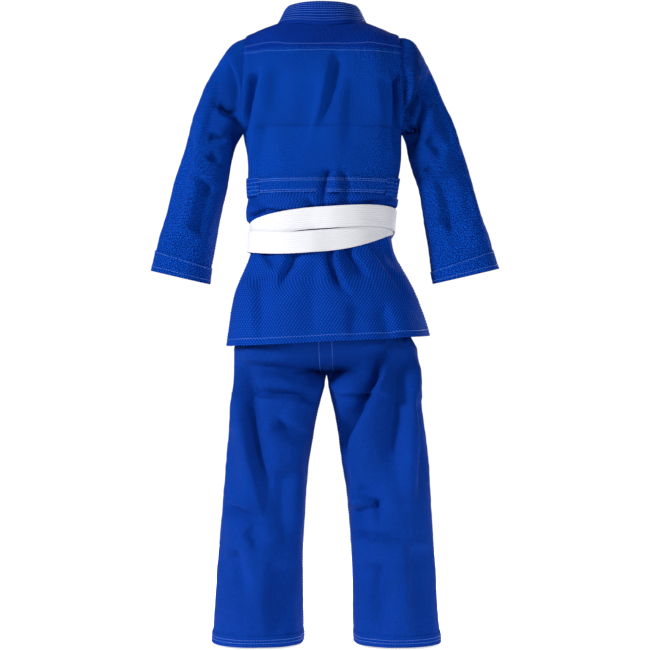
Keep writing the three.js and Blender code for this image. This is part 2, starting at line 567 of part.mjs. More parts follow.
const swingRoom = THIGH_HALF_DEPTH * (1 / Math.cos(degrees(LEG_SWING)) - 1);
const legRoomY = TROUSER_CLOTH + swingRoom + 2;
const splitStart = mix(seatTop, CROTCH, 0.68); // below this the seat divides towards the legs
const splitEnd = CROTCH - 4 * LEG_OVERLAP; // from here down the seat is two rings, one round each leg
const splitRows = [...steps(splitStart, splitEnd, 3), CROTCH];
const seatRows = [...steps(seatTop + SEAM_GAP, splitStart, 5).slice(0, -1), ...splitRows];
for (const [side, stops, name] of [[1, LEG_LEFT, "left"], [-1, LEG_RIGHT, "right"]]) {
  const leg = legTube(stops);
  sheet(`leg_back_${name}`, cloth.trousers, backTurn, legRows, leg, 0, TROUSER_CLOTH);
  sheet(`leg_front_${name}`, cloth.trousers, frontTurn, legRows, leg, 0, TROUSER_CLOTH);
  const bandTurn = steps(degrees(0.5) - Math.PI, Math.PI - degrees(0.5), 24);
  sheet(`hem_band_${name}`, cloth.trousers, bandTurn, hemRows, leg, 0, TROUSER_CLOTH + TAPE_CLOTH);
  sheet(`knee_patch_${name}`, cloth.trousers, frontTurn.slice(1, -1), kneeRows, leg,
    patchInside, patchInside + TAPE_CLOTH);
  for (const [facing, half] of [[1, "back"], [-1, "front"]])
    sheet(`seat_${half}_${name}`, cloth.trousers, steps(0, 1, 12), seatRows, (inward, level, offset) => {
      const split = rise(level, splitStart, splitEnd);
      const angle = facing * inward * Math.PI / 2;
      const hip = new THREE.Vector3(
        seatMiddle(level) + side * ((seatHalfWidth(level) + offset) * cosPower(angle) + SEAM_GAP / 2),
        (seatHalfDepth(level) + offset) * sinPower(angle), -level);
      const turn = facing * (side > 0 ? inward : 1 - inward) * Math.PI;
      const point = hip.lerp(leg(turn, level, offset, legRoomX, legRoomY), split);
      point.y += facing * SEAM_GAP / 2;
      return point;
    }, 0, TROUSER_CLOTH);
}
const bandEnd = degrees(0.4);
sheet("trouser_waistband", cloth.trousers, steps(-Math.PI / 2 + bandEnd, 1.5 * Math.PI - bandEnd, 32),
  [seatTop - WAISTBAND_HEIGHT, seatTop],
  (angle, level, offset) => new THREE.Vector3(
    seatMiddle(level) + (WAISTBAND_HALF_WIDTH + offset) * cosPower(angle),
    (WAISTBAND_HALF_DEPTH + offset) * sinPower(angle), -level),
  0, 2 * TROUSER_CLOTH);
for (const [side, name] of [[1, "left"], [-1, "right"]]) {
  const loop = new THREE.BoxGeometry(LOOP.width, LOOP.cloth, WAISTBAND_HEIGHT - LOOP.inset);
  const turn = Math.acos((LOOP.fromMiddle / WAISTBAND_HALF_WIDTH) ** (ROUNDNESS / 2));
  const y = WAISTBAND_HALF_DEPTH * sinPower(turn) + 2 * TROUSER_CLOTH + SEAM_GAP + 1;
  loop.translate(seatMiddle(seatTop) + side * LOOP.fromMiddle, -y, WAISTBAND_HEIGHT / 2 - seatTop);
  addPiece(`drawstring_loop_${name}`, cloth.trousers, loop);
}

export default uniform;
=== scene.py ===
"""A judo uniform as it is worn: cotton jacket, white belt wound twice, and loose trousers.

Surfaces are worked out in millimetres, level by level below the neck seam, and made in metres.
The wearer faces -Y and the wearer's left is +X.
"""

import bpy
import numpy as np
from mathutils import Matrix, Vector


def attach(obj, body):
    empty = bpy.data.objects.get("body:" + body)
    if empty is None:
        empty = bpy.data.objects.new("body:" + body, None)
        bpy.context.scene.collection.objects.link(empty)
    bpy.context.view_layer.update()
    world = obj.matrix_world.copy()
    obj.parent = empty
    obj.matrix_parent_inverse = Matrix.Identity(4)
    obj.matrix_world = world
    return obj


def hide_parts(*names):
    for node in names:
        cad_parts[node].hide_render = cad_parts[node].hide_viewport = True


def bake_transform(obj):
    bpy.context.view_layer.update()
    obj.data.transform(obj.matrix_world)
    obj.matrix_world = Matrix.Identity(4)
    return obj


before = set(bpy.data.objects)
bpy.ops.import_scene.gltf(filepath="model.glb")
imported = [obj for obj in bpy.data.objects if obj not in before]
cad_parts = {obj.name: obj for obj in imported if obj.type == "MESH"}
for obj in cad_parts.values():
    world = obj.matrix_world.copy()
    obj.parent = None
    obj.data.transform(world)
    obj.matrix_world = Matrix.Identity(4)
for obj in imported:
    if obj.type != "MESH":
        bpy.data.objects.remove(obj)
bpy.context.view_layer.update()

MM = 0.001
TURN = 2 * np.pi
SIDES = ((1, "left"), (-1, "right"))

# ---------------------------------------------------------------- sizes, in millimetres
JACKET_LENGTH = 632
TROUSER_HEM = 1230
SLEEVE_LENGTH = 500
JACKET_CLOTH = 2.2
YOKE_CLOTH = 3.2
SKIRT_CLOTH = 2.0
TROUSER_CLOTH = 1.6
TAPE_CLOTH = 1.4
HEM_CLOTH = 1.4
LOOP_CLOTH = 1.4
WAISTBAND_CLOTH = 3.2
CUFF_CLOTH = 1.8  # the turned-up layer, on top of the sleeve
COLLAR_CLOTH = 5.0
BELT_CLOTH = 3.4
CHEST = 120
ARMPIT = 215
YOKE_BACK_SEAM = 60
YOKE_FRONT_SEAM = 78
WAIST_SEAM = 328
WAIST_TAPE_HEIGHT = 30
BELT_LEVEL = 412
FLAP_TOP = 462
NECK_HALF_WIDTH = 85
NECK_BACK_DEPTH = 62
RIDGE_RISE = 14
RIDGE_POWER = 1.93
COLLAR_WIDTH = 45
COLLAR_LEAN = 12
COLLAR_SEAT = 5.4
LAPEL_WIDTH = 45
LAPEL_SLOPE = 0.324
LAPELS_CROSS = 222
LAPEL_SKIRT_SLOPE = 0.2
ROUNDNESS = 2.4
SHOULDER_HALF_WIDTH = 152
WAIST_HALF_WIDTH = 146.5
FLAP_HALF_WIDTH = 143
HEM_HALF_WIDTH = 201
HEM_HALF_DEPTH = 138
SIDE_SEAM_ANGLE = 0.0008  # keeps the panels a hair's breadth apart at the sides
ARMHOLE_HALF_DEPTH = 62
CHEST_HALF_DEPTH = 105
ARMPIT_HALF_WIDTH = 157
BELT_HALF_WIDTH = 137
BELT_HALF_DEPTH = 96
BELT_WIDTH = 42
BELT_UPPER = {"left": 423, "back": 391.5, "right": 396, "front": 430}
BELT_LOWER = {"left": 434, "back": 436, "right": 398, "front": 432}
BELT_EASE = 0.8
KNOT = {"width": 66, "height": 46, "depth": 27}
TAIL_LENGTH = 215
TAIL_SPREAD = 0.24
CROTCH = 690
TROUSER_WAIST = 405
WAISTBAND_HEIGHT = 34
KNEE = 950
KNEE_PATCH = (790, 1015)
HEM_BAND = 22
HEM_SLANT = 10  # the skirt hem hangs lower at the left and higher at the right by this much
CUFF_LENGTH = 46


# ---------------------------------------------------------------- curves
def power(value, exponent):
    return np.sign(value) * np.abs(value) ** exponent


def cos_power(angle):
    return power(np.cos(angle), 2 / ROUNDNESS)


def sin_power(angle):
    return power(np.sin(angle), 2 / ROUNDNESS)


def mix(a, b, share):
    return a + (b - a) * share


def rise(value, start, end):
    """0 up to start, 1 from end on, smooth between."""
    share = np.clip((value - start) / (end - start), 0, 1)
    return share * share * (3 - 2 * share)


def along(stops):
    """A smooth value down a list of (level, value) stops, held flat beyond both ends."""
    x, y = np.array(stops, float).T
    before = np.maximum(np.arange(len(x)) - 1, 0)
    after = np.minimum(np.arange(len(x)) + 1, len(x) - 1)
    slope = (y[after] - y[before]) / (x[after] - x[before])

    def value(level):
        level = np.clip(np.asarray(level, float), x[0], x[-1])
        i = np.clip(np.searchsorted(x, level, "right") - 1, 0, len(x) - 2)
        length = x[i + 1] - x[i]
        s = (level - x[i]) / length
        curve = (2 * s**3 - 3 * s**2 + 1) * y[i] + (3 * s**2 - 2 * s**3) * y[i + 1]
        tangent = (s**3 - 2 * s**2 + s) * slope[i] + (s**3 - s**2) * slope[i + 1]
        return curve + length * tangent

    return value


def through(points, share, centripetal=False):
    """Points on a smooth curve through the given ones, share 0 to 1 from end to end."""
    points = np.array(points, float)
    share = np.asarray(share, float)
    place = np.clip(share, 0, 1) * (len(points) - 1)
    i = np.clip(place.astype(int), 0, len(points) - 2)
    w = (place - i)[..., None]
    first, last = points[0], points[-1]
    if centripetal:
        first, last = 2 * points[0] - points[1], 2 * points[-1] - points[-2]
    padded = np.vstack([first, points, last])
    p0, p1, p2, p3 = (padded[i + k] for k in range(4))
    if not centripetal:
        m1, m2 = (p2 - p0) / 2, (p3 - p1) / 2
    else:
        d0, d1, d2 = (
            np.maximum(np.linalg.norm(b - a, axis=-1, keepdims=True), 1e-6) ** 0.5
            for a, b in ((p0, p1), (p1, p2), (p2, p3))
        )
        m1 = ((p1 - p0) / d0 - (p2 - p0) / (d0 + d1) + (p2 - p1) / d1) * d1
        m2 = ((p2 - p1) / d1 - (p3 - p1) / (d1 + d2) + (p3 - p2) / d2) * d1
    a, b = 2 * p1 - 2 * p2 + m1 + m2, -3 * p1 + 3 * p2 - 2 * m1 - m2
    return a * w**3 + b * w**2 + m1 * w + p1


def xyz(x, y, z):
    return np.stack(np.broadcast_arrays(x, y, z), axis=-1).astype(float)


# ---------------------------------------------------------------- the wearer's torso
def ridge(x):
    return RIDGE_RISE * (1 - (np.abs(x) / NECK_HALF_WIDTH) ** RIDGE_POWER)


SHOULDER_RIDGE = ridge(SHOULDER_HALF_WIDTH)
ARMHOLE_ANGLE = np.arcsin((ARMHOLE_HALF_DEPTH / CHEST_HALF_DEPTH) ** (ROUNDNESS / 2))
CHEST_HALF_WIDTH = SHOULDER_HALF_WIDTH / cos_power(ARMHOLE_ANGLE)
half_width = along(
    [
        (CHEST, CHEST_HALF_WIDTH),
        (ARMPIT, ARMPIT_HALF_WIDTH),
        (WAIST_SEAM, WAIST_HALF_WIDTH),
        (BELT_LEVEL, BELT_HALF_WIDTH),
        (FLAP_TOP, FLAP_HALF_WIDTH),
        (mix(FLAP_TOP, JACKET_LENGTH, 0.47), mix(FLAP_HALF_WIDTH, HEM_HALF_WIDTH, 0.63)),
        (JACKET_LENGTH, HEM_HALF_WIDTH),
    ]
)
half_depth = along(
    [
        (CHEST, CHEST_HALF_DEPTH),
        (ARMPIT, 107),
        (WAIST_SEAM, 101),
        (BELT_LEVEL, BELT_HALF_DEPTH),
        (FLAP_TOP, 99),
        (JACKET_LENGTH, HEM_HALF_DEPTH),
    ]
)
middle = along(
    [
        (CHEST, 0),
        (ARMPIT, 0),
        (mix(ARMPIT, WAIST_SEAM, 0.5), -4),
        (WAIST_SEAM, 0),
        (BELT_LEVEL, 2),
        (JACKET_LENGTH, -11),
    ]
)


def shoulder_point(angle, lift, offset=0.0):
    x = CHEST_HALF_WIDTH * cos_power(angle)
    y = (CHEST_HALF_DEPTH + offset) * sin_power(angle) * np.sin(lift)
    z = -CHEST + (ridge(x) + CHEST + offset) * np.cos(lift)
    return xyz(x + offset * cos_power(angle) * np.sin(lift), y, z)


def lift_at(angle, level):
    x = CHEST_HALF_WIDTH * cos_power(angle)
    return np.arccos(np.clip((CHEST - level) / (CHEST + ridge(x)), 0, 1))


def torso_point(angle, level, offset=0.0):
    level = np.asarray(level, float)
    x = middle(level) + (half_width(level) + offset) * cos_power(angle)
    low = xyz(x, (half_depth(level) + offset) * sin_power(angle), -level)
    high = shoulder_point(angle, lift_at(angle, level), offset)
    return np.where(np.broadcast_to(level < CHEST, low.shape[:-1])[..., None], high, low)


def armhole_depth(level):
    up = (CHEST - level) / (CHEST + SHOULDER_RIDGE)
    down = (level - CHEST) / (ARMPIT - CHEST)
    above = np.sqrt(np.clip(1 - up**2, 0, 1))
    below = np.clip(1 - np.clip(down, 0, None) ** 2.5, 0, 1) ** 0.4
    return ARMHOLE_HALF_DEPTH * np.where(level < CHEST, above, below)


def side_angle(level):
    share = np.clip(armhole_depth(level) / half_depth(level), SIDE_SEAM_ANGLE, 1)
    angle = np.arcsin(share ** (ROUNDNESS / 2))
    low = np.where(level >= ARMPIT, SIDE_SEAM_ANGLE, angle)
    return np.where(level <= CHEST, ARMHOLE_ANGLE, low)


def armhole_plane(level):
    foot = ARMPIT_HALF_WIDTH + JACKET_CLOTH + 0.2
    return mix(SHOULDER_HALF_WIDTH, foot, rise(level, 20, ARMPIT))


def meet_armhole(point, level, share):
    """Draws a panel out to the flat plane of the armhole near that edge."""
    limit = armhole_plane(level) - 0.1
    x = point[..., 0]
    drawn = np.minimum(mix(np.abs(x), limit, rise(share, 0.8, 1)), limit)
    point[..., 0] = np.where(level >= ARMPIT, x, np.sign(x) * drawn)
    return point


def free_edge(level):
    above = LAPEL_SLOPE * (LAPELS_CROSS - level)
    start = LAPEL_SLOPE * (LAPELS_CROSS - FLAP_TOP)
    return np.where(level < FLAP_TOP, above, start - LAPEL_SKIRT_SLOPE * (level - FLAP_TOP))


def sewn_edge(level):
    return free_edge(level) + LAPEL_WIDTH / np.cos(np.arctan(LAPEL_SLOPE))


def front_angle(x, level):
    half = np.where(np.asarray(level) < CHEST, CHEST_HALF_WIDTH, half_width(level))
    share = np.clip((x - middle(level)) / half, -1, 1)
    return -np.arccos(power(share, ROUNDNESS / 2))


OVERLAP_LIFT = COLLAR_CLOTH + 1.2


def left_lift(x, level):
    """The left front stands this far off the body where it lies over the right one."""
    right_edge = -free_edge(np.maximum(level, LAPELS_CROSS))
    return OVERLAP_LIFT * rise(level, CHEST, LAPELS_CROSS - 10) * rise(right_edge + 38 - x, 0, 33)


def back_point(across, level, offset=0.0):
    side = side_angle(level)
    angle = mix(side, np.pi - side, (across + 1) / 2)
    return meet_armhole(torso_point(angle, level, offset), level, np.abs(across))


def neck_lift(angle):
    x = CHEST_HALF_WIDTH * cos_power(angle)
    depth = CHEST_HALF_DEPTH * sin_power(np.abs(angle))
    share = np.minimum(1, np.abs(x) / NECK_HALF_WIDTH)
    return np.arcsin(np.clip(NECK_BACK_DEPTH * np.sqrt(1 - share**2) / depth, 0.0005, 1))


def yoke_back_point(across, down, offset=0.0):
    angle = mix(ARMHOLE_ANGLE, np.pi - ARMHOLE_ANGLE, (across + 1) / 2)
    lift = mix(neck_lift(angle), lift_at(angle, YOKE_BACK_SEAM), down)
    point = shoulder_point(angle, lift, offset)
    return meet_armhole(point, -point[..., 2], np.abs(across))


def yoke_front_point(side, outward, down, offset=0.0):
    neck = mix(NECK_HALF_WIDTH, sewn_edge(YOKE_FRONT_SEAM), down) + 7 * np.sin(np.pi * down)
    inner = front_angle(side * (neck - 1), CHEST)
    outer = -ARMHOLE_ANGLE if side > 0 else ARMHOLE_ANGLE - np.pi
    angle = mix(inner, outer, outward)
    lift = mix(0.0005, lift_at(angle, YOKE_FRONT_SEAM), down)
    point = shoulder_point(angle, lift, offset)
    return meet_armhole(point, -point[..., 2], outward)


def front_point(side, outward, level, offset=0.0):
    inner = side * (sewn_edge(level) - 1)
    edge = -side_angle(level) if side > 0 else side_angle(level) - np.pi
    angle = mix(front_angle(inner, level), edge, outward)
    x = torso_point(angle, level)[..., 0]
    lift = left_lift(x, level) if side > 0 else 0.0
    return meet_armhole(torso_point(angle, level, offset + lift), level, outward)


def lapel_point(side, across, level, offset=0.0):
    x = side * mix(free_edge(level), sewn_edge(level), across)
    lift = left_lift(x, level) if side > 0 else 0.0
    return torso_point(front_angle(x, level), level, offset + lift)


# ---------------------------------------------------------------- collar
def mirrored(half):
    half = np.array(half, float)
    return np.vstack([(half[1:] * [-1, 1, 1])[::-1], half])


LAPEL_TOP = np.array([float(sewn_edge(YOKE_FRONT_SEAM)), float(free_edge(YOKE_FRONT_SEAM))])
SEWN_END, FREE_END = torso_point(
    front_angle(LAPEL_TOP, YOKE_FRONT_SEAM - 1), np.full(2, YOKE_FRONT_SEAM - 1.0), COLLAR_CLOTH / 2
)
NECK_BACK = RIDGE_RISE - 19
COLLAR_TOP = NECK_BACK + COLLAR_WIDTH - 2
COLLAR_SEWN = mirrored(
    [
        (0, NECK_BACK_DEPTH, NECK_BACK + COLLAR_SEAT),
        (52, NECK_BACK_DEPTH - 12, NECK_BACK + COLLAR_SEAT + 3),
        (NECK_HALF_WIDTH - 1, 0, COLLAR_SEAT + 1),
        (NECK_HALF_WIDTH + 4, -42, -13),
        SEWN_END,
    ]
)
COLLAR_FREE = mirrored(
    [
        (0, NECK_BACK_DEPTH - COLLAR_LEAN, COLLAR_TOP),
        (44, NECK_BACK_DEPTH - COLLAR_LEAN - 12, COLLAR_TOP - 1),
        (NECK_HALF_WIDTH - COLLAR_LEAN - 1, -2, COLLAR_TOP - 6),
        (NECK_HALF_WIDTH - 26, -56, -4),
        FREE_END,
    ]
)


def collar_point(t, up):
    sewn = through(COLLAR_SEWN, t, centripetal=True)
    free = through(COLLAR_FREE, t, centripetal=True)
    return sewn + (free - sewn) * np.broadcast_to(up, np.broadcast(t, up).shape)[..., None]


# ---------------------------------------------------------------- belt
def round_the_body(levels):
    mean = sum(levels.values()) / 4
    twist = (levels["left"] - levels["back"] + levels["right"] - levels["front"]) / 4
    side = (levels["left"] - levels["right"]) / 2
    facing = (levels["back"] - levels["front"]) / 2
    return lambda a: mean + side * np.cos(a) + facing * np.sin(a) + twist * np.cos(2 * a)


def change_over(angle):
    """Which turn is outside: the turns swap at the back, near the middle."""
    return rise(angle, np.radians(84), np.radians(96))


def belt_point(levels, outer_share, angle, across, offset):
    step = BELT_CLOTH + BELT_EASE
    over_front = 2 * OVERLAP_LIFT * rise(-np.sin(angle), 0.1, 0.75)
    base = JACKET_CLOTH + BELT_EASE + over_front + step * outer_share(angle)
    return torso_point(angle, round_the_body(levels)(angle) + across, base + offset)


def clear_of_belt(points):
    """0 under the belt and the waist tape, rising to 1 a little clear of them."""
    angle = np.arctan2(points[..., 1] / BELT_HALF_DEPTH, points[..., 0] / BELT_HALF_WIDTH)
    above = round_the_body(BELT_UPPER)(angle) - BELT_WIDTH / 2 + points[..., 2]
    below = -points[..., 2] - round_the_body(BELT_LOWER)(angle) - BELT_WIDTH / 2
    tape_end = WAIST_SEAM + WAIST_TAPE_HEIGHT / 2
    off_tape = rise(-points[..., 2], tape_end, tape_end + 10)
    return np.maximum(rise(above, 1, 10), rise(below, 1, 12)) * off_tape


KNOT_LEVEL = (BELT_UPPER["front"] + BELT_LOWER["front"]) / 2
KNOT_BACK = 2 * OVERLAP_LIFT + JACKET_CLOTH + 2 * (BELT_CLOTH + BELT_EASE) - 1
KNOT_Y = -(float(half_depth(KNOT_LEVEL)) + KNOT_BACK + KNOT["depth"] / 2)
KNOT_X = float(middle(KNOT_LEVEL))
TAIL_TOP = KNOT_LEVEL + KNOT["height"] / 2 - 1


# ---------------------------------------------------------------- sleeves
SLEEVES = {
    "left": {
        "side": 1,
        "outer": [(197, 64), (252, 176), (301, 350)],
        "inner": [(177, 245), (191, 320), (212, 410)],
        "cuff": (22.1, 113),
    },
    "right": {
        "side": -1,
        "outer": [(193, 55), (263, 210), (309, 360)],
        "inner": [(171, 262), (194, 330), (211, 430)],
        "cuff": (23.3, 128),
    },
}


def sleeve_point(shape, turn, down, offset=0.0):
    slant, tilt, top_level = np.radians(shape["cuff"][0]), np.radians(13), -SHOULDER_RIDGE
    cuff_x = SHOULDER_HALF_WIDTH + SLEEVE_LENGTH * np.sin(slant)
    cuff_outer = (cuff_x, top_level + SLEEVE_LENGTH * np.cos(slant))
    width = shape["cuff"][1]
    cuff_inner = (cuff_x - width * np.cos(tilt), cuff_outer[1] + width * np.sin(tilt))
    top = [(armhole_plane(top_level), top_level), *shape["outer"], cuff_outer]
    bottom = [(armhole_plane(ARMPIT), ARMPIT), *shape["inner"], cuff_inner]
    a, b = through(top, down), through(bottom, down)
    centre, half = (a + b) / 2, (a - b) / 2
    stretch = 1 + offset / np.linalg.norm(half, axis=-1)
    round_off = rise(down, 0, 0.35)
    bulge = mix(np.cos(turn), cos_power(turn), round_off) * stretch
    edge_x = centre[..., 0] + half[..., 0] * bulge
    edge_level = centre[..., 1] + half[..., 1] * bulge
    edge_x = np.where(down <= 0, armhole_plane(edge_level), edge_x)
    flat = np.sign(np.sin(turn)) * armhole_depth(centre[..., 1] + half[..., 1] * np.cos(turn))
    depth = mix(flat, 52 * sin_power(turn), round_off) + offset * sin_power(turn)
    return xyz(shape["side"] * edge_x, depth, -edge_level)


# ---------------------------------------------------------------- trousers
LEG_LEVELS = (720, 802, KNEE, 1120, TROUSER_HEM)
LEGS = {  # x of the inner and the outer edge of each leg at those levels
    "left": (1, list(zip(LEG_LEVELS, (-3.6, 18, 37, 42, 40), (176, 185, 197, 210, 218)))),
    "right": (
        -1, list(zip(LEG_LEVELS, (-12.4, -31, -53, -62, -65), (-191, -203, -215, -226, -234)))
    ),
}
FORK_START = 590  # the seat begins to part here
LEG_SHARE = {"side": (640, 740), "middle": (686, 716)}  # levels over which seat turns into leg
leg_depth = along([(720, 102), (KNEE, 86), (TROUSER_HEM, 78)])
WAISTBAND_HALF = (BELT_HALF_WIDTH - 3.8, BELT_HALF_DEPTH - 6.2)


def seat_shape(waist, seat):
    stops = [(TROUSER_WAIST, waist - 2), (FLAP_TOP, waist), (576, waist + 16), (647, seat)]
    return along(stops)


seat_width, seat_depth = seat_shape(WAISTBAND_HALF[0], 180), seat_shape(WAISTBAND_HALF[1], 112)
seat_middle = along([(FLAP_TOP, 2), (CROTCH, -8)])


def leg_point(stops, angle, level, offset=0.0):
    inner = along([(stop[0], stop[1]) for stop in stops])(level)
    outer = along([(stop[0], stop[2]) for stop in stops])(level)
    half = np.abs(outer - inner) / 2 + offset
    x = (inner + outer) / 2 + half * cos_power(angle)
    return xyz(x, (leg_depth(level) + offset) * sin_power(angle), -level)


def trouser_point(name, around, level, offset=0.0):
    """around runs from the front middle, 0, by the outer side, to the back middle, 1."""
    side, stops = LEGS[name]
    hip_turn = (around - 0.5) * np.pi
    hip = xyz(
        seat_middle(level) + side * (seat_width(level) + offset) * cos_power(hip_turn),
        (seat_depth(level) + offset) * sin_power(hip_turn),
        -level,
    )
    fork = np.clip((level - FORK_START) / (CROTCH - FORK_START), 0, 1)
    drop = np.sqrt(1 - fork**2)
    pull = np.exp(-(((0.5 - np.abs(around - 0.5)) / 0.16) ** 2)) * rise(level, FORK_START, CROTCH)
    hip[..., 1] *= mix(1, drop, pull)
    leg_turn = np.where(side > 0, hip_turn * 2, np.pi - hip_turn * 2)
    leg = leg_point(stops, leg_turn, level, offset)
    edge = np.exp(-(((0.5 - np.abs(around - 0.5)) / 0.1) ** 2))
    start, end = (mix(a, b, edge) for a, b in zip(LEG_SHARE["side"], LEG_SHARE["middle"]))
    share = rise(level, start, end)
    return mix(hip, leg, np.broadcast_to(share, hip.shape[:-1])[..., None])


# ---------------------------------------------------------------- folds
CREST = 1.15  # the cloth stands highest this many widths to the side of a crease
CREST_HEIGHT = 0.35  # as a share of the depth of the crease
CREST_WIDTH = 2.2


def valley(points, path, width, depth, lean):
    """How far a crease along a path draws each point in; the cloth rises on its lean side."""
    path = np.array(path, float)
    dense = through(path, np.linspace(0, 1, 6 * len(path)))
    low, high = dense.min(0) - 5 * width, dense.max(0) + 5 * width
    shift = np.zeros(len(points))
    near = np.all((points > low) & (points < high), axis=1)
    if not near.any():
        return shift
    p = points[near][:, None]
    a, run = dense[:-1], np.diff(dense, axis=0)
    share = np.clip(((p - a) * run).sum(-1) / (run**2).sum(-1), 0, 1)
    gap = p - (a + share[..., None] * run)
    distance = np.linalg.norm(gap, axis=-1)
    k = distance.argmin(1)
    row = np.arange(len(k))
    gap, distance = gap[row, k], distance[row, k]
    side = np.sign(run[k, 0] * gap[:, 1] - run[k, 1] * gap[:, 0])
    place = (k + share[row, k]) / len(run)
    taper = (0.15 + 0.85 * rise(place, 0, 0.2)) * (0.05 + 0.95 * rise(1 - place, 0, 0.45))
    signed = side * lean * distance / width
    climb = (1 + CREST_HEIGHT) * rise(signed, 0, CREST) - 1
    ridge = CREST_HEIGHT * np.exp(-((np.maximum(signed - CREST, 0) / CREST_WIDTH) ** 2))
    lean_side = np.where(signed < CREST, climb, ridge)
    shift[near] = depth * taper * np.where(signed < 0, -np.exp(-((signed / 1.5) ** 2)), lean_side)
    return shift


WAVES = np.random.default_rng(7).normal(size=(14, 3))
WAVE_PHASES = np.random.default_rng(8).uniform(0, TURN, 14)


def drift(points, length, seed=0):
    """Slow uneven swelling of hanging cloth, about -1 to 1, with waves of this length."""
    total = np.zeros(len(points))
    for k, (wave, phase) in enumerate(zip(WAVES, WAVE_PHASES)):
        direction = wave / np.linalg.norm(wave)
        stretch = TURN / length * (0.6 + 0.09 * k)
        bend = 0.8 * np.sin(points @ np.roll(direction, 1) * stretch * 0.37 + phase * 2 + seed)
        total += np.sin(points @ direction * stretch + bend + phase + 3 * seed)
    return total / 5.0


FOLD_DEPTH = 2.5  # all creases together


def fold_shift(points, normals, folds):
    """folds are (facing, path of (x, z), width, depth, lean); facing is 1 for the back."""
    shift = np.zeros(len(points))
    for facing, path, width, depth, lean in folds:
        seen = rise(facing * normals[:, 1], 0.05, 0.45)
        if seen.any():
            crease = valley(points[:, [0, 2]], path, width, FOLD_DEPTH * depth, lean)
            shift += seen * crease
    return shift


JACKET_FOLDS = [
    (1, [(-30, -70), (-17, -130), (-4, -185), (20, -262)], 13, 4.6, 1),
    (1, [(14, -120), (22, -180), (44, -262)], 18, 2.6, -1),
    (1, [(-62, -110), (-54, -190), (-58, -280)], 22, 2.2, 1),
    (1, [(-17, -296), (-6, -333), (0, -380)], 8, 5.5, -1),
    (1, [(-34, -300), (-40, -336), (-32, -384)], 8, 4.2, 1),
    (1, [(30, -352), (18, -372), (10, -392)], 7, 3, -1),
    (1, [(125, -104), (135, -150), (145, -204), (147, -272)], 9, 8, -1),
    (1, [(112, -200), (124, -262), (128, -312)], 14, 3.4, 1),
    (1, [(152, -392), (120, -378), (80, -378), (56, -384)], 6, 5, -1),
    (1, [(148, -352), (120, -366), (98, -392)], 7, 3.5, 1),
    (1, [(-141, -100), (-147, -150), (-147, -210), (-144, -276)], 11, 8, 1),
    (1, [(-120, -118), (-128, -190), (-122, -262)], 16, 3, 1),
    (1, [(-74, -368), (-114, -358), (-146, -342)], 6.5, 4.6, 1),
    (1, [(-96, -392), (-124, -378), (-148, -372)], 6, 3.4, -1),
    (1, [(84, -92), (92, -150), (86, -220)], 24, 2.2, 1),
    (-1, [(118, -96), (134, -160), (143, -250)], 10, 7, 1),
    (-1, [(-118, -90), (-136, -160), (-144, -256)], 10, 7, -1),
    (-1, [(96, -140), (76, -220), (52, -300)], 15, 4.2, 1),
    (-1, [(-100, -150), (-82, -236), (-60, -318)], 15, 4.2, -1),
    (-1, [(128, -306), (96, -348), (58, -388)], 9, 5, 1),
    (-1, [(-126, -300), (-94, -350), (-66, -390)], 9, 5, -1),
    (-1, [(112, -360), (92, -378), (74, -396)], 6, 4, -1),
    (-1, [(-112, -356), (-90, -378), (-76, -396)], 6, 4, 1),
]
SKIRT_FOLDS = [
    (1, [(-14, -440), (-18, -468), (-24, -494), (-35, -520), (-58, -545)], 7, 8.5, -1),
    (1, [(-44, -436), (-56, -468), (-76, -492), (-92, -512)], 9, 5.5, -1),
    (1, [(-88, -430), (-117, -472), (-142, -508), (-168, -548)], 9, 3.6, 1),
    (1, [(-112, -426), (-134, -460), (-156, -500)], 8, 2.6, -1),
    (1, [(54, -450), (64, -478), (76, -502), (84, -540)], 9, 5, 1),
    (1, [(122, -454), (104, -474), (88, -494)], 8, 3, 1),
    (1, [(128, -500), (122, -560), (118, -640)], 17, 4.5, 1),
    (1, [(14, -470), (22, -540), (18, -640)], 22, 3.4, -1),
    (1, [(-112, -560), (-124, -600), (-128, -640)], 17, 3.4, -1),
    (1, [(-64, -556), (-60, -600), (-66, -640)], 19, 2.6, 1),
    (-1, [(84, -452), (96, -500), (112, -560)], 9, 5.5, -1),
    (-1, [(-84, -452), (-92, -506), (-104, -566)], 9, 5.5, 1),
    (-1, [(118, -456), (136, -520), (150, -600)], 12, 5, 1),
    (-1, [(-120, -452), (-138, -520), (-160, -604)], 12, 5, -1),
    (-1, [(52, -470), (60, -540), (66, -630)], 15, 4, 1),
    (-1, [(-48, -470), (-56, -550), (-58, -630)], 15, 4, -1),
]
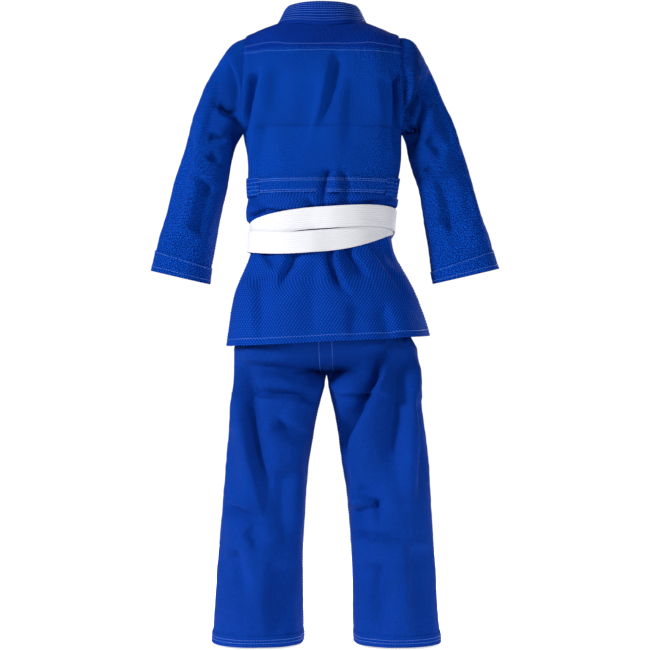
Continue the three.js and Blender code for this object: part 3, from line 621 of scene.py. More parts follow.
SLEEVE_FOLDS = [
    (1, [(200, -66), (182, -104), (168, -140), (158, -192)], 11, 10, -1),
    (1, [(212, -166), (190, -180), (172, -190), (158, -206)], 8, 8, 1),
    (1, [(218, -82), (210, -140), (222, -200), (236, -260)], 15, 4.6, 1),
    (1, [(224, -226), (206, -232), (186, -236)], 8, 4.4, -1),
    (1, [(226, -268), (212, -276), (192, -282)], 8, 4, 1),
    (1, [(258, -206), (268, -280), (284, -360), (296, -430)], 17, 4, -1),
    (1, [(226, -310), (240, -378), (252, -440)], 17, 4, 1),
    (1, [(214, -330), (232, -322), (250, -300)], 9, 3, 1),
    (1, [(262, -400), (246, -410), (228, -428)], 10, 2.6, 1),
    (1, [(-160, -190), (-176, -166), (-194, -134), (-204, -112)], 10, 9, -1),
    (1, [(-153, -92), (-158, -116), (-160, -150), (-159, -190)], 9, 8, -1),
    (1, [(-166, -246), (-184, -206), (-200, -166), (-208, -122)], 9, 9, -1),
    (1, [(-168, -200), (-166, -236), (-164, -270)], 9, 9, 1),
    (1, [(-216, -88), (-232, -150), (-250, -216), (-262, -282)], 15, 4.4, -1),
    (1, [(-202, -236), (-222, -250), (-236, -276)], 11, 4, 1),
    (1, [(-198, -292), (-214, -300), (-232, -320)], 9, 3.6, -1),
    (1, [(-226, -300), (-246, -372), (-262, -450)], 18, 4.4, 1),
    (1, [(-268, -250), (-284, -330), (-302, -410)], 17, 3.8, -1),
    (1, [(-226, -392), (-244, -398), (-262, -416)], 10, 2.8, 1),
    (-1, [(190, -84), (180, -124), (168, -176)], 13, 5, -1),
    (-1, [(214, -180), (192, -196), (172, -206)], 11, 4.5, 1),
    (-1, [(236, -200), (222, -236), (196, -262)], 10, 6, 1),
    (-1, [(240, -280), (256, -350), (270, -430)], 16, 5, 1),
    (-1, [(222, -300), (208, -306), (192, -312)], 9, 4, -1),
    (-1, [(-190, -84), (-182, -124), (-168, -180)], 13, 5, 1),
    (-1, [(-216, -180), (-194, -200), (-170, -216)], 11, 4.5, -1),
    (-1, [(-240, -206), (-224, -244), (-196, -272)], 10, 6, -1),
    (-1, [(-244, -286), (-262, -360), (-280, -440)], 16, 5, -1),
    (-1, [(-226, -320), (-210, -326), (-194, -334)], 9, 4, 1),
]
TROUSER_FOLDS = [
    (1, [(170, -660), (152, -730), (137, -818), (119, -900), (103, -978)], 15, 11, 1),
    (1, [(156, -732), (100, -733), (39, -740), (8, -758)], 9, 6.3, 1),
    (1, [(168, -678), (110, -680), (65, -686), (22, -704)], 11, 6, -1),
    (1, [(92, -784), (70, -800), (50, -812), (26, -818)], 12, 6.9, -1),
    (1, [(200, -952), (172, -960), (147, -968), (102, -986)], 9, 6.6, -1),
    (1, [(150, -1000), (134, -1018), (124, -1044)], 12, 3.6, 1),
    (1, [(178, -1040), (160, -1090), (150, -1160)], 24, 6, -1),
    (1, [(84, -1060), (92, -1140), (88, -1222)], 24, 6.8, 1),
    (1, [(196, -800), (190, -860), (184, -930)], 16, 6, 1),
    (1, [(70, -880), (76, -950), (72, -1030)], 22, 6, -1),
    (1, [(-122, -640), (-92, -724), (-58, -786), (-40, -840), (-46, -910)], 15, 15, -1),
    (1, [(-160, -650), (-150, -740), (-142, -840), (-152, -960)], 22, 11, -1),
    (1, [(-34, -742), (-84, -738), (-136, -742)], 8, 5.1, -1),
    (1, [(-186, -742), (-196, -840), (-192, -960)], 16, 6.9, 1),
    (1, [(-52, -978), (-74, -962), (-96, -952), (-116, -950)], 12, 6.6, -1),
    (1, [(-64, -922), (-88, -934), (-108, -958), (-118, -990)], 13, 6.6, 1),
    (1, [(-58, -1010), (-110, -1016), (-170, -1012)], 8, 3.9, 1),
    (1, [(-112, -1060), (-108, -1140), (-114, -1222)], 24, 7.5, -1),
    (1, [(-182, -1030), (-186, -1120), (-196, -1222)], 22, 6.6, 1),
    (-1, [(40, -690), (70, -740), (110, -790)], 10, 6, 1),
    (-1, [(-48, -690), (-80, -742), (-122, -792)], 10, 6, -1),
    (-1, [(146, -680), (134, -760), (124, -850)], 13, 5, -1),
    (-1, [(-156, -680), (-148, -760), (-140, -850)], 13, 5, 1),
    (-1, [(60, -1030), (100, -1042), (150, -1036)], 9, 4, 1),
    (-1, [(-80, -1034), (-124, -1044), (-172, -1038)], 9, 4, 1),
    (-1, [(96, -1050), (100, -1130), (104, -1222)], 18, 5, 1),
    (-1, [(-120, -1050), (-126, -1130), (-130, -1222)], 18, 5, -1),
    (-1, [(168, -1040), (176, -1130), (184, -1222)], 16, 4, -1),
    (-1, [(-186, -1040), (-194, -1130), (-202, -1222)], 16, 4, 1),
]


# ---------------------------------------------------------------- cloth meshes
def grid_normals(points, closed):
    if closed:
        wrapped = np.concatenate([points[:, -1:], points, points[:, :1]], axis=1)
        run = (wrapped[:, 2:] - wrapped[:, :-2]) / 2
    else:
        run = np.gradient(points, axis=1)
    fall = np.gradient(points, axis=0)
    normals = np.cross(run, fall)
    return normals / np.maximum(np.linalg.norm(normals, axis=-1, keepdims=True), 1e-9)


def lengths_along(points, axis):
    """Distance from the first point of each row or column, in millimetres."""
    step = np.linalg.norm(np.diff(points, axis=axis), axis=-1)
    start = np.zeros_like(np.take(step, [0], axis=axis))
    return np.concatenate([start, np.cumsum(step, axis=axis)], axis=axis)


def shell_mesh(name, outer, inner, closed, u, v):
    """A closed mesh from the two faces of a cloth, in metres, with its flat coordinates as UV."""
    rows, columns = outer.shape[:2]
    spans = columns if closed else columns - 1
    corner = np.arange(rows * columns).reshape(rows, columns)
    flat = np.arange(rows * (spans + 1)).reshape(rows, spans + 1)

    def quads(index, width_index):
        left, right = width_index[:-1], width_index[1:]
        return np.stack(
            [index[:-1][:, left], index[:-1][:, right], index[1:][:, right], index[1:][:, left]], -1
        ).reshape(-1, 4)

    wrap = np.arange(spans + 1) % columns
    plain = np.arange(spans + 1)
    face, face_uv = quads(corner, wrap)[:, ::-1], quads(flat, plain)[:, ::-1]
    half = rows * columns
    faces = [face, face[:, ::-1] + half]
    uvs = [face_uv, face_uv[:, ::-1]]

    def rim(line, line_uv):
        a, b = line[:-1], line[1:]
        faces.append(np.stack([a, b, b + half, a + half], -1))
        uvs.append(np.stack([line_uv[:-1], line_uv[1:], line_uv[1:], line_uv[:-1]], -1))

    rim(corner[0][wrap], flat[0])
    rim(corner[-1][wrap][::-1], flat[-1][::-1])
    if not closed:
        rim(corner[:, 0][::-1], flat[:, 0][::-1])
        rim(corner[:, -1], flat[:, -1])
    faces, uvs = np.concatenate(faces), np.concatenate(uvs)
    vertices = np.concatenate([outer.reshape(-1, 3), inner.reshape(-1, 3)]) * MM
    mesh = bpy.data.meshes.new(name)
    mesh.vertices.add(len(vertices))
    mesh.vertices.foreach_set("co", vertices.ravel())
    mesh.loops.add(faces.size)
    mesh.loops.foreach_set("vertex_index", faces.ravel())
    mesh.polygons.add(len(faces))
    mesh.polygons.foreach_set("loop_start", np.arange(0, faces.size, 4))
    mesh.update(calc_edges=True)
    mesh.polygons.foreach_set("use_smooth", np.ones(len(faces), bool))
    layer = mesh.uv_layers.new(name="cloth")
    layer.data.foreach_set("uv", (np.stack([u, v], -1).reshape(-1, 2)[uvs.ravel()] * MM).ravel())
    mesh.set_sharp_from_angle(angle=np.radians(55))
    mesh.validate()
    return mesh


class Panel:
    """A finished piece of cloth and the outer face that stitches follow."""

    def __init__(self, piece, outer, normals, closed):
        self.piece, self.outer, self.normals, self.closed = piece, outer, normals, closed

    def at(self, across, down, proud=0.25):
        """Points on the outer face, with across and down from 0 to 1, in millimetres."""
        face = self.outer + proud * self.normals
        if self.closed:
            face = np.concatenate([face, face[:, :1]], axis=1)
        rows, columns = face.shape[:2]
        across, down = np.broadcast_arrays(np.asarray(across, float), np.asarray(down, float))
        x = np.clip(across, 0, 1) * (columns - 1)
        y = np.clip(down, 0, 1) * (rows - 1)
        i, j = np.minimum(x.astype(int), columns - 2), np.minimum(y.astype(int), rows - 2)
        a, b = (x - i)[..., None], (y - j)[..., None]
        upper = face[j, i] * (1 - a) + face[j, i + 1] * a
        lower = face[j + 1, i] * (1 - a) + face[j + 1, i + 1] * a
        return upper * (1 - b) + lower * b


def both_sides(name, start, end):
    """The same bend for a left and a right body, mirrored in x."""
    return {
        f"{name}_{word}": [(side * x, y, z) for x, y, z in (start, end)] for side, word in SIDES
    }


BENDS = {  # where a piece starts to follow its body, and where it follows it fully, in metres
    "skirt_back": [(0, 0, -0.452), (0, 0, -0.512)],
    **both_sides("skirt_front", (0, 0, -0.452), (0, 0, -0.505)),
    **both_sides("sleeve", (0.196, 0, -0.04), (0.294, 0, -0.06)),
    **both_sides("leg", (0, 0, -0.675), (0, 0, -0.8)),
}


def go_with(piece, body):
    """Parents the piece to the empty of its body, so that it moves with it; a piece whose body is
    listed in BENDS only has its transform baked into its mesh.
    """
    if body in BENDS:
        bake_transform(piece)
    else:
        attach(piece, body)


def add_object(name, data):
    made = bpy.data.objects.new(name, data)
    bpy.context.scene.collection.objects.link(made)
    return made


def put(mesh, finish):
    mesh.materials.append(finish)
    return add_object(mesh.name, mesh)


STEADY = 0.2  # the most that cloth under the belt may rise
FREE = 9  # and this much more once it is clear of the belt
SMALL_WAVES = (0.22, 0.34)  # height and length as shares of the slow waves
EDGE = (0.55, 1.6)  # cloth thins to this share at its edges, over this many thicknesses


def lengths_round(points, closed):
    if closed:
        points = np.concatenate([points, points[:, :1]], axis=1)
    return points, lengths_along(points, 1), lengths_along(points, 0)


def sew(
    name, base, cloth, body, finish, nodes, folds=(), closed=False,
    swell=(0, 1), pinned="", pin_width=22, relief=None, centre=None, raised=0.0,
    belted=False,
):
    """Makes one piece of cloth from the smooth surface of its middle layer.

    swell is (height, length) of its slow waves. pinned lists the edges, of t b l r, where the
    folds die out towards a seam. relief is added to the outer face, and raised to both faces.
    A belted piece stays flat under the belt and the waist tape."""
    normals = grid_normals(base, closed)
    hub = base.mean(axis=1, keepdims=True) if centre is None else np.array(centre, float)
    away = base - hub
    if centre is not None:
        away[..., 2] = 0
    facing = 1 if (normals * away).sum(-1).mean() > 0 else -1
    normals = normals * facing
    u, v = lengths_along(base, 1), lengths_along(base, 0)
    hold = np.ones(base.shape[:2])
    for edge, distance in (("l", u), ("r", u[:, -1:] - u), ("t", v), ("b", v[-1:] - v)):
        if edge in pinned:
            hold = hold * rise(distance, 0, pin_width)
    points, flat_normals = base.reshape(-1, 3), normals.reshape(-1, 3)
    hanging = points * (1, 1, 0.4)  # slow waves are longest down the cloth
    shift = fold_shift(points, flat_normals, folds) + swell[0] * drift(hanging, swell[1])
    shift += SMALL_WAVES[0] * swell[0] * drift(points, SMALL_WAVES[1] * swell[1], 1)
    shift = shift.reshape(hold.shape) * hold + raised
    if belted:
        shift = np.minimum(shift, STEADY + FREE * clear_of_belt(base))
    shaped = base + shift[..., None] * normals
    normals = grid_normals(shaped, closed) * facing
    edge = np.minimum(v, v[-1:] - v)
    if not closed:
        edge = np.minimum(edge, np.minimum(u, u[:, -1:] - u))
    half = cloth / 2 * mix(EDGE[0], 1, rise(edge, -0.5, EDGE[1] * cloth))
    proud = half if relief is None else half + relief
    outer, inner = shaped + proud[..., None] * normals, shaped - half[..., None] * normals
    _, u, v = lengths_round(shaped, closed)
    u = u - u[:, -1:] / 2
    v = np.broadcast_to(v.mean(axis=1, keepdims=True), u.shape)
    faces = (inner, outer) if facing > 0 else (outer, inner)
    piece = put(shell_mesh(name, *faces, closed, u, v), finish)
    go_with(piece, body)
    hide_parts(*nodes)
    return Panel(piece, outer, normals, closed)


def grid(at, across, down):
    return at(np.asarray(across, float)[None, :], np.asarray(down, float)[:, None])


def ring(count, start=-np.pi):
    return np.linspace(start, start + TURN, count + 1)[:-1]


def spaced(start, end, length, step=3.2):
    """Even parameter values from start to end for a stretch of this length in millimetres."""
    return np.linspace(start, end, max(int(length / step), 2) + 1)


# ---------------------------------------------------------------- finishes
ONE_REPEAT = 0.31831  # scale at which a wave texture has one band per unit


def linear(colour):
    """An sRGB hex colour as linear RGBA."""
    parts = [int(colour[i : i + 2], 16) / 255 for i in (1, 3, 5)]
    return (*[p / 12.92 if p <= 0.04045 else ((p + 0.055) / 1.055) ** 2.4 for p in parts], 1)


def node(tree, kind, links=(), values=(), **settings):
    """Adds a node; links is {input: socket} and values is {input: value}."""
    made = tree.nodes.new(kind)
    for key, value in settings.items():
        setattr(made, key, value)
    for key, value in dict(values).items():
        made.inputs[key].default_value = value
    for key, socket in dict(links).items():
        tree.links.new(socket, made.inputs[key])
    return made


def emptied(owner):
    """The node tree of a material or world, with nothing in it."""
    owner.use_nodes = True
    owner.node_tree.nodes.clear()
    return owner.node_tree


def finish_start(name):
    finish = bpy.data.materials.new(name)
    tree = emptied(finish)
    return finish, tree, node(tree, "ShaderNodeUVMap", uv_map="cloth").outputs["UV"]


def slanted(tree, flat, degrees, across, down):
    """The flat coordinates turned by an angle and counted in repeats of these sizes in metres."""
    turn = {"Rotation": (0, 0, np.radians(degrees)), "Scale": (1 / across, 1 / down, 1)}
    return node(tree, "ShaderNodeMapping", {"Vector": flat}, turn).outputs["Vector"]


def fibres(tree, flat, scale, detail):
    """Fine unevenness of the yarn."""
    values = {"Scale": scale, "Detail": detail}
    return node(
        tree, "ShaderNodeTexNoise", {"Vector": flat}, values, noise_dimensions="2D"
    ).outputs["Fac"]


def waves(tree, place, distortion, detail, detail_scale):
    """Bands one repeat apart."""
    values = {"Scale": ONE_REPEAT, "Distortion": distortion}
    values |= {"Detail": detail, "Detail Scale": detail_scale}
    return node(tree, "ShaderNodeTexWave", {"Vector": place}, values).outputs["Fac"]


def remap(tree, value, low, high, to_low=0.0, to_high=1.0):
    span = {"From Min": low, "From Max": high, "To Min": to_low, "To Max": to_high}
    return node(tree, "ShaderNodeMapRange", {"Value": value}, span).outputs["Result"]


def maths(tree, operation, links, values=()):
    return node(tree, "ShaderNodeMath", links, values, operation=operation).outputs["Value"]


def finish_end(tree, colour, height, depth, roughness, sheen, sheen_tint, strength=1.0):
    """Joins colour and height to a cotton surface; depth is the height of the relief in metres."""
    relief = {"Strength": strength, "Distance": depth}
    bump = node(tree, "ShaderNodeBump", {"Height": height}, relief)
    cotton = node(
        tree, "ShaderNodeBsdfPrincipled",
        {"Base Color": colour, "Normal": bump.outputs["Normal"]},
        {
            "Roughness": roughness,
            "IOR": 1.47,
            "Specular IOR Level": 0.05,
            "Sheen Weight": sheen,
            "Sheen Roughness": 0.45,
            "Sheen Tint": linear(sheen_tint),
        },
    )
    node(tree, "ShaderNodeOutputMaterial", {"Surface": cotton.outputs["BSDF"]})


def cloudy(tree, size, low, high):
    """Slow unevenness of the dye, with patches of this size in metres."""
    place = node(tree, "ShaderNodeTexCoord").outputs["Object"]
    values = {"Scale": 1 / size, "Detail": 3.0, "Roughness": 0.55}
    noise = node(tree, "ShaderNodeTexNoise", {"Vector": place}, values)
    return remap(tree, noise.outputs["Fac"], 0.3, 0.7, low, high)


def relief_painted_tones(tree, share, dark, light, uneven_tone):
    """Mixes a darker and a lighter tone of the cloth by share, then multiplies by the slow uneven
    tone of the cloth. The finishes give a share that follows the relief of the weave, so this
    paints shade into its hollows and a highlight onto its raised parts.
    """
    tone_pair = {6: linear(dark), 7: linear(light)}
    tone = node(tree, "ShaderNodeMix", {0: share}, tone_pair, data_type="RGBA").outputs[2]
    return node(
        tree, "ShaderNodeVectorMath", {0: tone, 1: uneven_tone}, operation="MULTIPLY"
    ).outputs["Vector"]


def rice_grain(name, dark, light, grain=(0.0036, 0.0025)):
    """Double-weave cotton: staggered raised grains 3.6 by 2.5 mm, their tops painted lighter than
    the hollows as a painted highlight.
    """
    finish, tree, flat = finish_start(name)
    grains = node(
        tree, "ShaderNodeTexVoronoi", {"Vector": slanted(tree, flat, 32, *grain)},
        {"Scale": 1.0, "Randomness": 0.55}, voronoi_dimensions="2D",
    )
    top = remap(tree, grains.outputs["Distance"], 0.08, 0.55, 1.0, 0.0)
    threads = fibres(tree, flat, 900.0, 2.0)
    fuzzy = maths(tree, "MULTIPLY_ADD", {0: threads, 1: top, 2: top})
    # painted highlight: the grain tops take the lighter tone, the hollows between them the darker
    # one
    painted_grain_highlight = maths(tree, "POWER", {0: top}, {1: 1.6})
    colour = relief_painted_tones(tree, painted_grain_highlight, dark, light, cloudy(tree, 0.06, 0.9, 1.1))
    finish_end(tree, colour, fuzzy, 0.0011, 0.88, 0.02, "#3A78E0", 1.0)
    return finish


def diamond_weave(name, dark, light, pitch=0.0052):
    """Lighter cotton with raised dots in a diamond lattice, 5.2 mm from dot to dot."""
    finish, tree, flat = finish_start(name)
    bands = [
        waves(tree, slanted(tree, flat, angle, pitch, pitch), 0.35, 1.0, 2.0) for angle in (38, -38)
    ]
    dots = maths(tree, "MULTIPLY", {0: bands[0], 1: bands[1]})
    threads = fibres(tree, flat, 700.0, 2.0)
    height = maths(tree, "MULTIPLY_ADD", {0: threads, 2: dots}, {1: 0.5})
    # painted highlight and painted shade: the raised dots take the lighter tone, the hollows
    # between them the darker one
    colour = relief_painted_tones(tree, dots, dark, light, cloudy(tree, 0.07, 0.92, 1.08))
    finish_end(tree, colour, height, 0.0008, 0.88, 0.02, "#3A78E0", 1.0)
    return finish


def twill(name, dark, light, rib=0.0022):
    """Cotton drill: diagonal ribs, drawn 2.2 mm apart, twice the real ones, so that they show."""
    finish, tree, flat = finish_start(name)
    ribs = waves(tree, slanted(tree, flat, 58, rib, rib), 0.8, 2.0, 1.5)
    slubs = fibres(tree, flat, 160.0, 3.0)
    height = maths(tree, "MULTIPLY_ADD", {0: slubs, 2: ribs}, {1: 0.7})
    # the colour follows the height: the ribs are painted lighter on top and darker between them,
    # painted highlight and painted shade, and the slubs add uneven tone
    share = remap(tree, height, 0.2, 1.5)
    colour = relief_painted_tones(tree, share, dark, light, cloudy(tree, 0.09, 0.92, 1.08))
    finish_end(tree, colour, height, 0.0004, 0.86, 0.02, "#3A78E0", 0.8)
    return finish


def webbing(name, dark, light, row=0.0042):
    """Bleached cotton belt: plain weave over a firm core, quilted in lines 4.2 mm apart."""
    finish, tree, flat = finish_start(name)
    split = node(tree, "ShaderNodeSeparateXYZ", {"Vector": flat})
    across = maths(tree, "MULTIPLY", {0: split.outputs["Y"]}, {1: 1 / row})
    share = maths(tree, "FRACT", {0: across})
    quilt = maths(tree, "ABSOLUTE", {0: maths(tree, "SUBTRACT", {0: share}, {1: 0.5})})
    groove = remap(tree, quilt, 0.0, 0.22)
    threads = fibres(tree, flat, 420.0, 3.0)
    height = maths(tree, "MULTIPLY_ADD", {0: threads, 2: groove}, {1: 0.35})
    # painted shade: the quilting grooves take the darker tone
    colour = relief_painted_tones(tree, groove, dark, light, cloudy(tree, 0.08, 0.97, 1.02))
    finish_end(tree, colour, height, 0.0005, 0.86, 0.1, "#FFFFFF", 0.6)
    return finish


def sewing_thread(name, colour):
    """Polyester sewing thread, a little lighter and glossier than the cloth that it holds."""
    finish = bpy.data.materials.new(name)
    tree = emptied(finish)
    place = node(tree, "ShaderNodeTexCoord").outputs["Object"]
    twist = node(tree, "ShaderNodeTexNoise", {"Vector": place}, {"Scale": 1500.0}).outputs["Fac"]
    tone_pair = {6: linear(colour[0]), 7: linear(colour[1])}
    tone = node(tree, "ShaderNodeMix", {0: twist}, tone_pair, data_type="RGBA").outputs[2]
    gloss = {"Roughness": 0.55, "IOR": 1.5}
    thread = node(tree, "ShaderNodeBsdfPrincipled", {"Base Color": tone}, gloss)
    node(tree, "ShaderNodeOutputMaterial", {"Surface": thread.outputs["BSDF"]})
    return finish


# Each finish mixes a darker and a lighter tone of its cloth by the relief of the weave: painted
# shade in the hollows, painted highlight on the raised parts.
JACKET = rice_grain("rice_grain_cotton_royal_blue", "#001C72", "#0468EE")
# The yoke is the jacket's cloth doubled; its tones are darker than the jacket's as painted shade.
YOKE = rice_grain("rice_grain_cotton_double_layer_painted_shade", "#00186A", "#0452DA", (0.0034, 0.0024))
CANVAS = twill("collar_canvas_royal_blue", "#001A60", "#023092", 0.0026)
SKIRT = diamond_weave("diamond_weave_cotton_royal_blue", "#012478", "#044EBA")
TROUSERS = twill("cotton_drill_royal_blue", "#022070", "#043A94")
BELT = webbing("belt_webbing_bleached_cotton", "#C6C7CB", "#D2D2D7")
THREAD = sewing_thread("sewing_thread_light_blue", ("#1C4CAC", "#3A70CE"))
WHITE_THREAD = sewing_thread("sewing_thread_white", ("#D6D7DA", "#F2F2F2"))


# ---------------------------------------------------------------- jacket
QUILT_ROWS = 8
BAND_BELOW_SEAM = 0.16  # how far the collar band reaches below its seam, as a share of its width


def pucker(points_x, level, seams, height=0.55, pitch=13.0):
    """Small ripples that a row of stitches draws into the cloth beside it."""
    total = 0.0
    for seam in seams:
        ripple = np.sin(points_x * TURN / pitch + 1.7 * np.sin(points_x * 0.05) + seam)
        total = total + height * ripple * np.exp(-(((level - seam) / 7.0) ** 2))
    return total


def quilted(across, depth):
    """Grooves along the rows of stitches that divide a band into eight."""
    return -depth * np.abs(np.cos(across * np.pi * QUILT_ROWS)) ** 6


across_back = spaced(-1, 1, 400)
back_levels = spaced(YOKE_BACK_SEAM, WAIST_SEAM, 268)
base = grid(lambda a, b: back_point(a, b, JACKET_CLOTH / 2), across_back, back_levels)
upper_back = sew(
    "upper_back_cloth", base, JACKET_CLOTH, "uniform", JACKET, ["upper_back"],
    folds=JACKET_FOLDS, swell=(1.3, 70), pinned="lr", pin_width=9, centre=(0, 0, 0),
    relief=pucker(base[..., 0], -base[..., 2], (66, 74)),
)
base = grid(lambda a, b: yoke_back_point(a, b, YOKE_CLOTH / 2), across_back, spaced(0, 1, 90, 3))
yoke_back = sew(
    "yoke_back_cloth", base, YOKE_CLOTH, "uniform", YOKE, ["yoke_back"],
    folds=JACKET_FOLDS, swell=(0.9, 80), pinned="lrt", pin_width=9, centre=(0, 0, -150),
    relief=pucker(base[..., 0], -base[..., 2], (54,), 0.4)
    - 0.5 * np.exp(-(((base[..., 0] + 3) / 1.5) ** 2)),
)
fronts, yokes, lapels = {}, {}, {}
for side, name in SIDES:
    base = grid(
        lambda a, b: yoke_front_point(side, a, b, YOKE_CLOTH / 2),
        spaced(0, 1, 90), spaced(0, 1, 110),
    )
    yokes[name] = sew(
        f"yoke_front_{name}_cloth", base, YOKE_CLOTH, "uniform", YOKE,
        [f"yoke_front_{name}"], swell=(0.6, 80), pinned="lrt", pin_width=9,
        centre=(0, 0, -150),
    )
    base = grid(
        lambda a, b: front_point(side, a, b, JACKET_CLOTH / 2),
        spaced(0, 1, 230), spaced(YOKE_FRONT_SEAM, WAIST_SEAM, 250),
    )
    fronts[name] = sew(
        f"front_{name}_cloth", base, JACKET_CLOTH, "uniform", JACKET,
        [f"front_{name}"], folds=JACKET_FOLDS, swell=(1.3, 70), pinned="lr",
        pin_width=9, centre=(0, 0, 0),
    )
    base = grid(
        lambda a, b: lapel_point(side, a, b, COLLAR_CLOTH / 2),
        np.linspace(0, 1, 33), spaced(YOKE_FRONT_SEAM - 0.5, JACKET_LENGTH, 555),
    )
    quilting = quilted(np.linspace(0, 1, 33), 0.45)
    lapels[name] = sew(
        f"lapel_{name}_band", base, COLLAR_CLOTH, f"skirt_front_{name}", CANVAS,
        [f"lapel_{name}", f"lapel_end_{name}"], swell=(0.5, 90), centre=(0, 0, 0),
        relief=np.broadcast_to(quilting, base.shape[:2]),
    )

collar_up = np.linspace(-BAND_BELOW_SEAM, 1, 37)


def collar_band_point(t, up):
    """The band reaches lower behind the neck, down over the cut edge of the yoke."""
    behind = 0.17 * np.exp(-(((t - 0.5) / 0.16) ** 2))
    beside = 0.16 * np.exp(-(((np.abs(t - 0.5) - 0.24) / 0.09) ** 2))
    lower = (behind + beside) * np.clip(1 - (up + BAND_BELOW_SEAM) / 0.5, 0, 1)
    return collar_point(t, up - lower)


base = grid(collar_band_point, spaced(0, 1, 520, 3), collar_up)
quilting = quilted(np.clip(collar_up, 0, 1), 0.5)
collar = sew(
    "collar_band", base, COLLAR_CLOTH, "uniform", CANVAS, ["collar"],
    swell=(0.4, 60), centre=(0, -10, 0), relief=np.broadcast_to(quilting[:, None], base.shape[:2]),
)

# waist tape, and a shirred patch at each side
PATCH_TURN = np.radians(38)
TAPE_IN = JACKET_CLOTH + 0.7
tape_levels = (WAIST_SEAM - WAIST_TAPE_HEIGHT / 2, WAIST_SEAM + WAIST_TAPE_HEIGHT / 2)
base = grid(
    lambda a, b: torso_point(a, b, TAPE_IN + TAPE_CLOTH / 2),
    spaced(PATCH_TURN, np.pi - PATCH_TURN, 250), spaced(*tape_levels, 30, 2),
)
tape = sew(
    "waist_tape_cloth", base, TAPE_CLOTH, "uniform", JACKET, ["waist_tape"],
    folds=JACKET_FOLDS, swell=(1.3, 70),
    centre=(0, 0, 0), relief=pucker(base[..., 0], -base[..., 2], (315, 341), 0.5),
)
patches = {}
for name, start, end in (
    ("left", -np.radians(4), PATCH_TURN - 0.009),
    ("right", np.pi - PATCH_TURN + 0.009, np.pi + np.radians(4)),
):
    base = grid(
        lambda a, b: torso_point(a, b, TAPE_IN + TAPE_CLOTH / 2 + 0.4),
        spaced(start, end, 76, 1.5), spaced(tape_levels[0] - 4, tape_levels[1] + 4, 38, 2),
    )
    gathers = np.linspace(0, 1, base.shape[1])
    shirring = 0.9 * np.sin(gathers * TURN * 9 + np.linspace(0, 1.5, base.shape[0])[:, None])
    patches[name] = sew(
        f"side_patch_{name}_cloth", base, TAPE_CLOTH, "uniform", JACKET,
        [f"side_patch_{name}"], centre=(0, 0, 0), relief=shirring,
    )

# skirt, and the cloth that the belt gathers up into a soft roll above it
def blouse(points, height=6.0):
    angle = np.arctan2(points[..., 1] / BELT_HALF_DEPTH, points[..., 0] / BELT_HALF_WIDTH)
    above = round_the_body(BELT_UPPER)(angle) - BELT_WIDTH / 2 + points[..., 2]
    uneven = 1 + 0.35 * np.sin(5 * angle + 1) + 0.2 * np.sin(13 * angle)
    return height * uneven * rise(above, 0.5, 11) * (1 - rise(above, 16, 60))


def slant_hem(points):
    points[..., 2] -= HEM_SLANT * rise(-points[..., 2], 540, JACKET_LENGTH) * points[..., 0] / 200


base = grid(
    lambda a, b: back_point(a, b, SKIRT_CLOTH / 2),
    spaced(-1, 1, 520, 3.4), spaced(WAIST_SEAM, JACKET_LENGTH, 304),
)
slant_hem(base)
skirt_back = sew(
    "skirt_back_cloth", base, SKIRT_CLOTH, "skirt_back", SKIRT,
    ["skirt_back_top", "skirt_back"], swell=(1.6, 85),
    folds=JACKET_FOLDS + SKIRT_FOLDS, pinned="lr", pin_width=14, centre=(0, 0, 0),
    raised=blouse(base), belted=True,
)
skirts = {}
for side, name in SIDES:
    base = grid(
        lambda a, b: front_point(side, a, b, SKIRT_CLOTH / 2),
        spaced(0, 1, 300, 3.4), spaced(WAIST_SEAM, JACKET_LENGTH, 304),
    )
    slant_hem(base)
    skirts[name] = sew(
        f"skirt_front_{name}_cloth", base, SKIRT_CLOTH, f"skirt_front_{name}",
        SKIRT, [f"skirt_front_{name}_top", f"skirt_front_{name}"],
        folds=JACKET_FOLDS + SKIRT_FOLDS, swell=(1.2, 85),
        pinned="lr", pin_width=14, centre=(0, 0, 0), raised=blouse(base),
        belted=True,
    )

# sleeves with their turned-up cuffs
sleeves, cuffs = {}, {}
cuff_start = 1 - CUFF_LENGTH / SLEEVE_LENGTH
for name, shape in SLEEVES.items():
    turns = ring(110)
    base = grid(
        lambda a, b: sleeve_point(shape, a, b, JACKET_CLOTH / 2), turns, spaced(0, 0.985, 490)
    )
    sleeves[name] = sew(
        f"sleeve_{name}_cloth", base, JACKET_CLOTH, f"sleeve_{name}", JACKET,
        [f"sleeve_{name}"], folds=SLEEVE_FOLDS,
        closed=True, swell=(1.8, 60), pinned="t", pin_width=26,
    )
    base = grid(
        lambda a, b: sleeve_point(shape, a, b, JACKET_CLOTH + 1.0),
        turns, spaced(cuff_start, 1, CUFF_LENGTH, 2.5),
    )
    cuffs[name] = sew(
        f"cuff_{name}_cloth", base, CUFF_CLOTH, f"sleeve_{name}", JACKET,
        [f"cuff_{name}"], folds=SLEEVE_FOLDS, closed=True, swell=(1.8, 60),
    )

# ---------------------------------------------------------------- belt
ACROSS_BELT = np.linspace(-BELT_WIDTH / 2, BELT_WIDTH / 2, 15)
for name, levels, outer_share in (
    ("upper", BELT_UPPER, change_over),
    ("lower", BELT_LOWER, lambda angle: 1 - change_over(angle)),
):
    end = np.radians(9)
    base = grid(
        lambda a, b: belt_point(levels, outer_share, a, b, BELT_CLOTH / 2),
        spaced(1.5 * np.pi - end, end - np.pi / 2, 800, 3.2),
        ACROSS_BELT,
    )
    sew(
        f"belt_turn_{name}", base, BELT_CLOTH, "uniform", BELT,
        [f"belt_wrap_{name}"], swell=(0.35, 70),
        centre=(0, 0, 0),
    )


